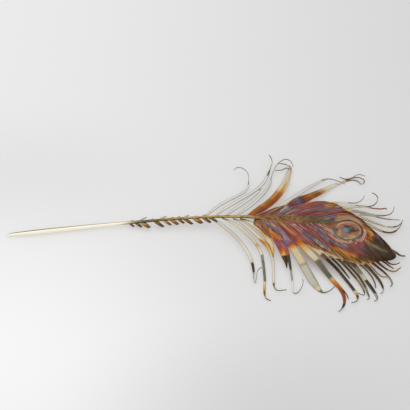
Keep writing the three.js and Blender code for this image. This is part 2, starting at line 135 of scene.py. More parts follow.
eye = {
    "centre": (335.2, -0.6),
    "reach": (14.3, 11.9),  # half its length and half its width
    "frayed": 0.05,  # how far the grain pulls its outline about
    # tints across it, from its near side to its far side
    "inside": [
        (0.05, "tan"), (0.22, "fawn"), (0.42, "mauve"), (0.62, "mauve"), (0.8, "fawn"), (0.95, "tan"),
    ],
    "innerRim": (0.93, -0.06),  # where the outline starts, and how much farther in it does below
    "outerRim": (1.0, 1.06),
    "glintAt": 0.82,  # a bright line just within the outline
    # spots: tint, x, y, half length, half width, strength
    "spots": [
        ("bronze", 343.7, -1.4, 5.4, 3.5, 0.6), ("russet", 344.8, -0.6, 3.3, 1.6, 0.45),
        ("mauve", 331, -6.7, 3.7, 2.4, 0.75), ("tan", 338.4, -8.3, 4.9, 2, 0.5),
        ("gold", 326.7, -2.9, 2.3, 4.9, 0.55), ("tan", 325.5, -6.6, 1.6, 2, 0.5),
        ("russet", 330.8, 6.2, 3.2, 1.4, 0.75), ("umber", 332.6, -8.9, 6.4, 1, 0.4),
        ("umber", 342.4, -1.2, 5.1, 1.5, 0.55), ("ink", 334.9, 0.2, 7.1, 6, 0.88),
        ("umber", 340.4, -1.6, 3.7, 2.6, 0.65), ("steel", 332.3, -0.8, 4.1, 4, 0.85),
        ("teal", 336.8, 1.6, 2.4, 1.9, 0.45), ("ink", 333.8, 3.3, 3.9, 1.6, 0.7),
        ("teal", 334.5, -2.2, 2.2, 1.8, 0.5), ("ink", 323.8, 0.2, 2.4, 2.1, 0.85),
    ],
}


def addNode(tree, kind, inputs=None, **settings):
    made = tree.nodes.new("ShaderNode" + kind)
    for key, value in settings.items():
        setattr(made, key, value)
    for key, value in (inputs or {}).items():
        feed(tree, made.inputs[key], value)
    return made


def feed(tree, socket, value):
    if isinstance(value, bpy.types.NodeSocket):
        tree.links.new(value, socket)
    else:
        socket.default_value = value


def maths(tree, operation, *values):
    made = addNode(tree, "Math", dict(enumerate(values)), operation=operation)
    return made.outputs[0]


def ramp(tree, factor, stops, way="LINEAR"):
    made = addNode(tree, "ValToRGB", {"Fac": factor})
    made.color_ramp.interpolation = way
    slots = made.color_ramp.elements
    while len(slots) < len(stops):
        slots.new(1)
    for slot, (place, colour) in zip(slots, stops):
        slot.position = place
        slot.color = colour
    return made.outputs["Color"]


def mixed(tree, factor, first, second, way="MIX"):
    made = addNode(tree, "Mix", data_type="RGBA", blend_type=way)
    for socket, value in zip((made.inputs[0], made.inputs[6], made.inputs[7]), (factor, first, second)):
        feed(tree, socket, value)
    return made.outputs[2]


def solidTint(name):
    return (*toLinear(colourOf(name)).tolist(), 1)


def faded(tree, value, fromValue, toValue, way="SMOOTHSTEP"):
    # 1 where the value is below the first limit, 0 above the second
    made = addNode(
        tree, "MapRange",
        {"Value": value, "From Min": fromValue, "From Max": toValue, "To Min": 1.0, "To Max": 0.0},
        interpolation_type=way,
    )
    return made.outputs["Result"]


def ovalPlace(tree, centre, reach, turn=0):
    # the table's plane, shifted, turned and scaled until the oval's rim is 1 away
    place = addNode(tree, "TexCoord").outputs["Object"]
    shift = (*inFrame([*centre, 0])[:2].tolist(), 0)
    oval = addNode(
        tree, "Mapping",
        {
            "Vector": place, "Location": shift, "Rotation": (0, 0, math.radians(turn)),
            "Scale": (reach[0] / 1000, reach[1] / 1000, 1000),
        },
        vector_type="TEXTURE",
    )
    return oval.outputs["Vector"]


def vectorLength(tree, vector):
    return addNode(tree, "VectorMath", {0: vector}, operation="LENGTH").outputs["Value"]


def addEye(tree, base, feather):
    local = ovalPlace(tree, eye["centre"], eye["reach"])
    out = maths(tree, "MULTIPLY_ADD", feather, eye["frayed"], vectorLength(tree, local))
    axes = addNode(tree, "SeparateXYZ", {0: local})
    height = maths(tree, "MULTIPLY_ADD", axes.outputs["Y"], 0.5, 0.5)
    height = maths(tree, "MULTIPLY_ADD", feather, 0.1, height)
    inside = ramp(tree, height, [(place, solidTint(name)) for place, name in eye["inside"]])
    base = mixed(tree, faded(tree, out, eye["innerRim"][0], 1.0), base, inside)
    for name, x, y, long, wide, strength in eye["spots"]:
        away = vectorLength(tree, ovalPlace(tree, (x, y), (long, wide)))
        away = maths(tree, "MULTIPLY_ADD", feather, 0.3, away)
        here = maths(tree, "MULTIPLY", faded(tree, away, 0.55, 1.1), strength)
        base = mixed(tree, here, base, solidTint(name))
    # the outline is thin and brown above and to the right, broad and teal below and to the left
    lean = maths(tree, "MULTIPLY_ADD", axes.outputs["X"], 0.45, axes.outputs["Y"])
    below = faded(tree, lean, -0.45, 0.2)
    above = maths(tree, "SUBTRACT", 1.0, below)
    offGlint = maths(tree, "ABSOLUTE", maths(tree, "SUBTRACT", out, eye["glintAt"]))
    glint = maths(tree, "MULTIPLY", faded(tree, offGlint, 0.02, 0.09), above)
    base = mixed(tree, maths(tree, "MULTIPLY", glint, 0.6), base, solidTint("blush"))
    thin, broader = eye["innerRim"]
    offRim = maths(tree, "SUBTRACT", maths(tree, "MULTIPLY_ADD", below, broader, thin), out)
    onRim = maths(tree, "MULTIPLY", faded(tree, offRim, -0.03, 0.01), faded(tree, out, *eye["outerRim"]))
    # it thins out beside the ridge
    leftEnd = faded(tree, axes.outputs["X"], -0.75, -0.45)
    farHalf = maths(tree, "SUBTRACT", 1.0, faded(tree, axes.outputs["Y"], 0.15, 0.45))
    besideRidge = maths(tree, "MULTIPLY", leftEnd, farHalf)
    onRim = maths(tree, "MULTIPLY", onRim, maths(tree, "MULTIPLY_ADD", besideRidge, -0.75, 1.0))
    rimTint = mixed(tree, below, solidTint("umber"), mixed(tree, 0.35, solidTint("teal"), solidTint("ink")))
    return mixed(tree, maths(tree, "MULTIPLY", onRim, 0.95), base, rimTint)


brushed = {
    "long": 0.12,  # noise waves per millimetre along a barb
    "broad": 0.9,  # the same across it, for the broad streaks
    "tickShare": (0.1, 0.32),  # how much of its pitch a cut takes, where it is deep and where it ends
    "tickTint": "umber",
    "tickStrength": 0.8,
    "roughRange": 0.2,
    "bump": 0.4,
}


def temperedSteel(finish):
    # Each mesh holds "tint", its heat colour, with the strength of the cross ticks as its alpha,
    # and "grain", millimetres along and across the barb.
    material = bpy.data.materials.new(finish["name"])
    material.use_nodes = True
    tree = material.node_tree
    shader = tree.nodes["Principled BSDF"]
    tint = addNode(tree, "Attribute", attribute_name="tint")
    grain = addNode(tree, "Attribute", attribute_name="grain").outputs["Vector"]
    axes = addNode(tree, "SeparateXYZ", {0: grain})

    def drawnOut(across, detail):
        pitch = {0: grain, 1: (brushed["long"], across, 1)}
        stretched = addNode(tree, "VectorMath", pitch, operation="MULTIPLY").outputs[0]
        noise = addNode(tree, "TexNoise", {"Vector": stretched, "Scale": 1.0, "Detail": detail})
        return noise.outputs["Fac"]

    hairs = drawnOut(finish["brushPitch"], 2.0)
    feather = maths(tree, "MULTIPLY_ADD", drawnOut(brushed["broad"], 1.0), 2.0, -1.0)
    base = tint.outputs["Color"]
    if finish["eye"]:
        base = addEye(tree, base, feather)
    # slanting cuts across each barb
    count = maths(tree, "MULTIPLY_ADD", axes.outputs["Y"], finish["tickSlant"], axes.outputs["X"])
    cut = maths(tree, "PINGPONG", count, finish["tickPitch"] / 2)
    cut = faded(tree, cut, *[finish["tickPitch"] * share for share in brushed["tickShare"]])
    cut = maths(tree, "MULTIPLY", cut, tint.outputs["Alpha"])
    dark = maths(tree, "MULTIPLY", cut, brushed["tickStrength"])
    base = mixed(tree, dark, base, solidTint(brushed["tickTint"]))
    spread = finish["brushContrast"]
    lit = maths(tree, "MULTIPLY_ADD", hairs, spread, 1 - spread / 2)
    grey = addNode(tree, "CombineColor", {0: lit, 1: lit, 2: lit}).outputs[0]
    base = mixed(tree, 1.0, base, grey, "MULTIPLY")
    tree.links.new(base, shader.inputs["Base Color"])
    shader.inputs["Metallic"].default_value = 1
    spread = brushed["roughRange"]
    rough = maths(tree, "MULTIPLY_ADD", hairs, spread, finish["roughness"] - spread / 2)
    rough = maths(tree, "MULTIPLY_ADD", feather, 0.04, rough)
    tree.links.new(rough, shader.inputs["Roughness"])
    height = maths(tree, "SUBTRACT", hairs, cut)
    bumpy = {"Height": height, "Strength": brushed["bump"], "Distance": finish["brushDepth"]}
    tree.links.new(addNode(tree, "Bump", bumpy).outputs["Normal"], shader.inputs["Normal"])
    return material


finishes = {
    "shaft_steel": {
        "name": "polished shaft steel", "eye": True, "roughness": 0.24,
        "brushContrast": 0.08, "brushPitch": 5, "brushDepth": 0.00003, "tickPitch": 2, "tickSlant": 0.8,
    },
    "blade_steel": {
        "name": "flame coloured sheet", "eye": True, "roughness": 0.32,
        "brushContrast": 0.85, "brushPitch": 2, "brushDepth": 0.0001, "tickPitch": 2.2, "tickSlant": 0.7,
    },
    "barb_steel": {
        "name": "polished strip steel", "eye": False, "roughness": 0.28,
        "brushContrast": 0.14, "brushPitch": 5, "brushDepth": 0.00004, "tickPitch": 2.6, "tickSlant": 0.9,
    },
}
steels = {slotName: temperedSteel(finish) for slotName, finish in finishes.items()}
print("steels mixed")


def loft(rings):
    # closed skin over rings of equal length, with a flat cap on each end
    rings = np.asarray(rings)
    count, around = rings.shape[:2]
    places = rings.reshape(-1, 3)
    i, j = np.meshgrid(np.arange(count - 1), np.arange(around), indexing="ij")
    k = (j + 1) % around
    quads = np.stack([i * around + j, i * around + k, (i + 1) * around + k, (i + 1) * around + j], -1)
    quads = quads.reshape(-1, 4)
    faces = quads.tolist()
    faces.append(list(range(around))[::-1])
    faces.append([(count - 1) * around + n for n in range(around)])
    corners = places[quads]
    volume = np.einsum("ij,ij->", np.cross(corners[:, 0], corners[:, 1]), corners[:, 2])
    volume += np.einsum("ij,ij->", np.cross(corners[:, 0], corners[:, 2]), corners[:, 3])
    if volume < 0:
        faces = [face[::-1] for face in faces]
    return places, faces


def closedSolid(rings, tint, ticks, grain):
    places, faces = loft(rings)
    shape = rings.shape[:2]
    painted = np.concatenate([toLinear(tint), np.broadcast_to(ticks, shape)[..., None]], -1)
    return {
        "places": places, "faces": faces, "tint": painted.reshape(-1, 4),
        "grain": np.stack(np.broadcast_arrays(*grain), -1).reshape(-1, 3),
    }


sharpFrom = 38  # degrees from which an edge stays sharp


def addPiece(name, solids, slotName, node):
    faces = []
    start = 0
    for solid in solids:
        faces.extend([[start + n for n in face] for face in solid["faces"]])
        start += len(solid["places"])
    mesh = bpy.data.meshes.new(name)
    mesh.from_pydata(inFrame(np.vstack([solid["places"] for solid in solids])).tolist(), [], faces)
    for key, kind, field in (("tint", "FLOAT_COLOR", "color"), ("grain", "FLOAT_VECTOR", "vector")):
        values = np.vstack([solid[key] for solid in solids]).astype(np.float32)
        mesh.attributes.new(key, kind, "POINT").data.foreach_set(field, values.ravel())
    mesh.shade_smooth()
    mesh.set_sharp_from_angle(angle=math.radians(sharpFrom))
    mesh.materials.append(steels[slotName])
    piece = bpy.data.objects.new(name, mesh)
    bpy.context.scene.collection.objects.link(piece)
    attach(piece, "root")
    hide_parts(node)


def smoothLine(points, perSpan):
    # centripetal Catmull-Rom line; values after the third are carried along
    p = np.asarray(points, float)
    p = np.vstack([2 * p[0] - p[1], p, 2 * p[-1] - p[-2]])
    line = []
    for i in range(1, len(p) - 2):
        a, b, c, d = p[i - 1 : i + 3]
        ab, bc, cd = [max(np.linalg.norm((n - m)[:3]), 1e-6) ** 0.5 for m, n in ((a, b), (b, c), (c, d))]
        leave = ((b - a) / ab - (c - a) / (ab + bc) + (c - b) / bc) * bc
        arrive = ((c - b) / bc - (d - b) / (bc + cd) + (d - c) / cd) * bc
        t = (np.arange(perSpan) / perSpan)[:, None]
        line.append(b + leave * t + (3 * (c - b) - 2 * leave - arrive) * t**2
                    + (2 * (b - c) + leave + arrive) * t**3)
    return np.vstack([*line, p[-2:-1]])


sheet = 0.6
seam = 0.3  # between the shaft's underside and the blade
shaft = {
    # x, y, underside z, half width, height
    "stations": [
        (0, 0.2, 0.7, 0.6, 1.4), (4, 0.6, 0.2, 1.4, 3), (16, 1.8, 0, 2.1, 4.3), (34, 3.9, 0, 2.5, 5),
        (56, 7, 0, 2.4, 4.8), (82, 10.2, 0.7, 2.1, 4.2), (112, 13.2, 2.1, 1.7, 3.4),
        (140, 15.2, 3.9, 1.4, 2.8), (172, 17, 5.9, 1.3, 2.5), (205, 17.6, 7.7, 1.3, 2.4),
        (234, 16.8, 9, 1.9, 2.4), (262, 15.4, 10, 2.8, 2.2), (288, 13.4, 10.6, 3.3, 2),
        (308, 11, 10.9, 3, 1.4), (322, 8.4, 11, 1.9, 0.8), (331, 6.2, 11, 0.6, 0.3),
    ],
    "sides": 32,
    "perSpan": 44,
    "mergedFrom": (236, 256),  # it sinks into the blade past here
    "swelling": 0.65,
    "chasedPitch": 2.1,
    "chasedDepth": 0.08,
    "chasedSlant": 1.45,
    "chasedSaw": [(0, -1), (0.3, 0.5), (0.8, 1), (1, -1)],
    "bareTo": (104, 128),  # the polished quill ends here
    "tints": [
        (0, "cream"), (112, "cream"), (122, "straw"), (134, "pewter"), (150, "bronze"), (166, "brass"),
        (236, "brass"), (250, "bronze"), (286, "bronze"), (302, "olive"), (320, "olive"), (330, "tan"),
    ],
    "topDarkReflection": [(0, 0.95), (30, 0.75), (70, 0.5), (110, 0.4)],  # strength of the dark reflection painted along the top of the bare quill
    "underDarkening": [(120, 0.5), (170, 0.8), (230, 0.9)],  # and how much darker it is underneath, past the quill
    "stubLift": 1.1,  # from the blade's line to the root of a snipped barb
    "stubShape": [(0, 0, 0, 0.9), (0.6, 0.5, 0.22, 1.05), (1.25, 1, 0.9, 0.7)],  # ahead, out, droop, width
    "stubCut": 0.45,  # how much their ends slant
    "nearReach": 0.8,  # share of a barb's length that it stands out
    "farReach": 0.85,
    # snipped barbs: x of the root, length, width
    "nearStubs": [
        (120, 5, 2.4), (126, 6.5, 3), (132, 8.5, 4.4), (145, 9, 3.6), (154, 7.5, 3), (161, 7.5, 4),
        (168, 6.5, 3), (174, 8.5, 3.6), (184, 8, 4.8), (193, 7.5, 3.4), (200, 6.5, 2.8),
    ],
    "farStubs": [
        (118, 5.5, 1.2), (128, 8.5, 1.6), (139, 4.5, 1.4), (149, 7, 2), (159, 4.5, 1.4), (165, 5, 1.4),
        (173, 5.5, 1.8), (183, 4, 1.2), (190, 5.5, 1.6),
    ],
}
bladeFall = (3.6, 29)  # millimetres down, that far from the ridge
# the ridge runs on past the shaft: x, y, z
beyondShaft = [(340, 3.2, 10.4), (355, -5, 8.9), (368, -15.5, 6.8), (378, -24.5, 5.2)]
ridgeLine = np.array(
    [(x, y, z - seam - sheet / 2) for x, y, z, _, _ in shaft["stations"][:-1]] + beyondShaft, float
)


def ridgeAt(x):
    # holds its last slope past both ends
    x = np.asarray(x, float)
    i = np.clip(np.searchsorted(ridgeLine[:, 0], x), 1, len(ridgeLine) - 1)
    a, b = ridgeLine[i - 1], ridgeLine[i]
    t = (x - a[..., 0]) / (b[..., 0] - a[..., 0])
    return a[..., 1] + (b[..., 1] - a[..., 1]) * t, a[..., 2] + (b[..., 2] - a[..., 2]) * t


def bladeHeight(x, y):
    ridgeY, ridgeZ = ridgeAt(x)
    down, aside = bladeFall
    return ridgeZ - down * ((y - ridgeY) / aside) ** 2


def tintAlong(stops, place):
    colours = np.array([colourOf(name) for _, name in stops])
    marks = [mark for mark, _ in stops]
    return np.stack([np.interp(place, marks, colours[:, k]) for k in range(3)], -1)


def valueAlong(stops, place):
    return np.interp(place, *zip(*stops))


def heatAlong(stops, place):
    return valueAlong([(mark, temperScale.index(name)) for mark, name in stops], place)


stripLook = {
    "rowsPerSpan": 9,
    "wideFrom": 4,  # a strip wider than this has more points across it
    "pointsAcross": (13, 25),
    "least": 0.55,  # width of the finest wire
    "belly": 0.03,  # its bulge as a share of its width
    "edge": 0.55,  # how much of its thickness is worn off its edges
    "overlap": 0.12,  # over which one band fades into the next
    "seedStep": 37.7,  # keeps the streaks of one strip from those of the next
}


def paintStrip(plan, at, s, travelled, across, flat):
    # tints run along the points; "left" and "right" are its two edges seen from the root
    left = heatAlong(plan["left"], at)
    right = heatAlong(plan.get("right", plan["left"]), at)
    heat = left + (right - left) * smoothStep(-0.8, 0.8, s)
    mark = plan.get("batch", 0) * stripLook["seedStep"]
    heat = heat + plan.get("mottle", 0.3) * streaks(travelled + mark, across + mark, 15, 0.8)
    rgb = temperColour(heat)
    ragged = at + 0.06 * streaks(travelled * 0 + mark, across + mark, 1, 0.5)
    over = stripLook["overlap"]
    for name, start, end, strength in plan.get("bands", []):
        band = smoothStep(start - over, start, ragged) - smoothStep(end, end + over, ragged)
        patchy = 1 - 0.25 * np.abs(streaks(travelled + mark, across + 9, 9, 0.6))
        rgb = blend(rgb, name, band * strength * patchy)
    rgb = rgb * (1 + 0.06 * streaks(travelled + mark, across, 22, 1.1))[..., None]
    rim = plan.get("rim", 0.45) * smoothStep(plan.get("rimFrom", 0.6), 0.97, np.abs(s)) * flat
    rgb = blend(rgb, plan.get("rimTint", "pewter"), rim)
    return blend(rgb, plan.get("wireTint", "pewter"), plan.get("wire", 0.5) * (1 - flat))


def strip(plan):
    # a strip of sheet: flat and slightly bellied, then twisted onto its edge where it curls
    places = [
        (x, y, float(bladeHeight(x, y)) - sheet / 2, *rest) if len(rest) == 1 else (x, y, *rest)
        for x, y, *rest in plan["points"]
    ]
    line = smoothLine(places, stripLook["rowsPerSpan"])
    at = (np.arange(len(line)) / stripLook["rowsPerSpan"])[:, None]
    centre = line[:, :3]
    wide = np.maximum(line[:, 3:] * plan.get("widen", 1), stripLook["least"])
    along = np.gradient(centre, axis=0)
    along /= np.linalg.norm(along, axis=1, keepdims=True)
    across = np.stack([along[:, 1], -along[:, 0], np.zeros(len(along))], 1)
    across /= np.linalg.norm(across, axis=1, keepdims=True)
    roll = smoothStep(*plan.get("onEdge", (99, 100)), at) * math.pi / 2
    up = np.cross(across, along)
    across, up = across * np.cos(roll) - up * np.sin(roll), up * np.cos(roll) + across * np.sin(roll)
    reach = (np.abs(across[:, 2:]) * wide + np.abs(up[:, 2:]) * sheet) / 2
    centre[:, 2:] = np.maximum(centre[:, 2:], reach)
    # more points towards the edges, and more on a wide strip
    s = np.linspace(1, -1, stripLook["pointsAcross"][int(wide.max() > stripLook["wideFrom"])])
    s = s * (1.4 - 0.4 * s * s)
    s = s / s[0]
    flat = np.cos(roll)
    worn = 1 - stripLook["edge"] * smoothStep(0.75, 1.0, np.abs(s))
    thick = np.minimum(sheet, 0.62 * wide) / 2 * worn
    belly = stripLook["belly"] * wide * (1 - s**2) * flat
    middle = [centre + across * (k * wide / 2) for k in s]
    top = [row + up * (belly + thick)[:, n : n + 1] for n, row in enumerate(middle)]
    under = [row + up * (belly - thick)[:, n : n + 1] for n, row in enumerate(middle)]
    rings = np.stack([*under, *top[::-1]], 1)
    s = np.concatenate([s, s[::-1]])[None]
    aside = s * wide / 2
    if "cut" in plan:  # its ends are snipped aslant
        rings = rings + along[:, None] * (aside * plan["cut"])[..., None]
    steps = np.linalg.norm(np.diff(centre, axis=0), axis=1)
    travelled = np.concatenate([[0], np.cumsum(steps)])[:, None]
    rgb = paintStrip(plan, at, s, travelled, aside, flat)
    ticks = np.zeros(rings.shape[:2])
    for start, end, strength in plan.get("ticks", []):
        ticks = ticks + strength * (smoothStep(start, start + 0.4, at) - smoothStep(end - 0.4, end, at))
    return closedSolid(rings, rgb, ticks, (travelled, aside, plan.get("batch", 0) * 7.3))


def stubPlan(row, side):
    x, long, wide = row
    ridgeY, ridgeZ = ridgeAt(x)
    top = float(ridgeZ) + seam + sheet / 2 + shaft["stubLift"]
    reach = long * shaft["nearReach" if side < 0 else "farReach"]
    points = [
        (x + reach * ahead, float(ridgeY) + side * reach * out, top - droop, wide * share)
        for ahead, out, droop, share in shaft["stubShape"]
    ]
    if side < 0:
        heat = [(0, "gold")]
        dark = 0.45 + 0.4 * math.sin(x * 1.7)  # some are darker than others
        bands = [("bronze", 0, 3, 0.6), ("olive", 0, 3, dark), ("umber", 1.2, 3, 0.6)]
    else:
        heat = [(0, "silver"), (2, "straw")]
        bands = [("pewter", 0, 3, 0.35)]
    cut = shaft["stubCut"] * side
    return {"points": points, "left": heat, "bands": bands, "cut": cut, "batch": x, "mottle": 0.8}


def rod():
    rows = smoothLine(shaft["stations"], shaft["perSpan"])
    angle = -math.pi / 2 + (np.arange(shaft["sides"]) + 0.5) * 2 * math.pi / shaft["sides"]
    x, y, z, wide, high = [rows[:, k : k + 1] for k in range(5)]
    z = np.maximum(z, 0)
    outY, outZ = np.cos(angle)[None], np.sin(angle)[None]
    # a tube, then a low swelling of the blade's own surface
    merged = smoothStep(*shaft["mergedFrom"], x)
    aside = y + wide * outY * (1 + 0.25 * merged)
    tube = z + high / 2 * (1 + outZ)
    bladeTop = bladeHeight(x + 0 * aside, aside) + sheet / 2
    swelling = high * shaft["swelling"] * np.cos(math.pi / 2 * outY) ** 2
    low = bladeTop + np.where(outZ > 0, swelling, -sheet * 0.4)
    # barbs chased across it slant towards the tip on both sides
    count = (x - shaft["chasedSlant"] * np.abs(outY) * wide) / shaft["chasedPitch"]
    saw = valueAlong(shaft["chasedSaw"], count % 1)
    low = low + shaft["chasedDepth"] * saw * merged * smoothStep(0.05, 0.5, outZ)
    rings = np.stack(np.broadcast_arrays(x, aside, tube + (low - tube) * merged), -1)

    rgb = np.broadcast_to(tintAlong(shaft["tints"], x), (*rings.shape[:2], 3))
    facing = np.degrees(np.arctan2(outZ, -outY)) % 360  # 0 to the near side, 90 up, 180 to the far side
    bare = 1 - smoothStep(*shaft["bareTo"], x)
    # a dark reflection painted in olive along the top of the bare quill
    topLine = smoothStep(80, 98, facing) * (1 - smoothStep(215, 240, facing))
    rgb = blend(rgb, "olive", topLine * bare * valueAlong(shaft["topDarkReflection"], x))
    plain = (1 - bare) * (1 - merged)
    # darker underneath, past the bare quill
    beneath = (1 - smoothStep(18, 50, facing)) + smoothStep(250, 300, facing)
    rgb = blend(rgb, "olive", plain * beneath * valueAlong(shaft["underDarkening"], x))
    rgb = blend(rgb, "olive", plain * 0.5 * smoothStep(0.0, 0.9, streaks(x, angle[None] * 2, 9, 1)))
    # oxide left between the snipped barbs
    dashes = streaks(x + 25, outY * wide + 12, 3.2, 0.8)
    snipped = smoothStep(150, 200, x) * (1 - merged)
    rgb = blend(rgb, "gold", snipped * 0.6 * smoothStep(0.1, 0.7, dashes))
    rgb = blend(rgb, "olive", snipped * 0.75 * smoothStep(0.05, 0.6, -dashes))
    # each chased barb has its own tint, painted shade along its root and a painted highlight along its edge
    own = streaks(np.floor(count) * 7.9, np.sign(outY) * 31, 1, 1)
    rgb = rgb * (1 + merged * 0.14 * own)[..., None]
    rgb = blend(rgb, "umber", merged * 0.6 * (1 - smoothStep(0.12, 0.3, np.abs(count % 1 - 0.15))))
    rgb = blend(rgb, "tan", merged * 0.3 * (1 - smoothStep(0.08, 0.2, np.abs(count % 1 - 0.65))))
    mottled = streaks(x, outY * wide + 40, 2.4, 0.8)
    golden = 1 - smoothStep(268, 300, x)
    rgb = blend(rgb, "gold", merged * golden * 0.6 * smoothStep(0.1, 0.8, mottled))
    rgb = blend(rgb, "umber", merged * 0.6 * smoothStep(0.1, 0.8, -mottled))
    rgb = blend(rgb, "pewter", merged * (1 - golden) * 0.6 * smoothStep(0.1, 0.7, mottled))
    return closedSolid(rings, rgb, 0.3 * merged, (x, angle[None] * wide, 3))


stubs = [strip(stubPlan(row, -1)) for row in shaft["nearStubs"]]
stubs += [strip(stubPlan(row, 1)) for row in shaft["farStubs"]]
addPiece("forged_shaft", [rod(), *stubs], "shaft_steel", "shaft")
print("shaft forged")

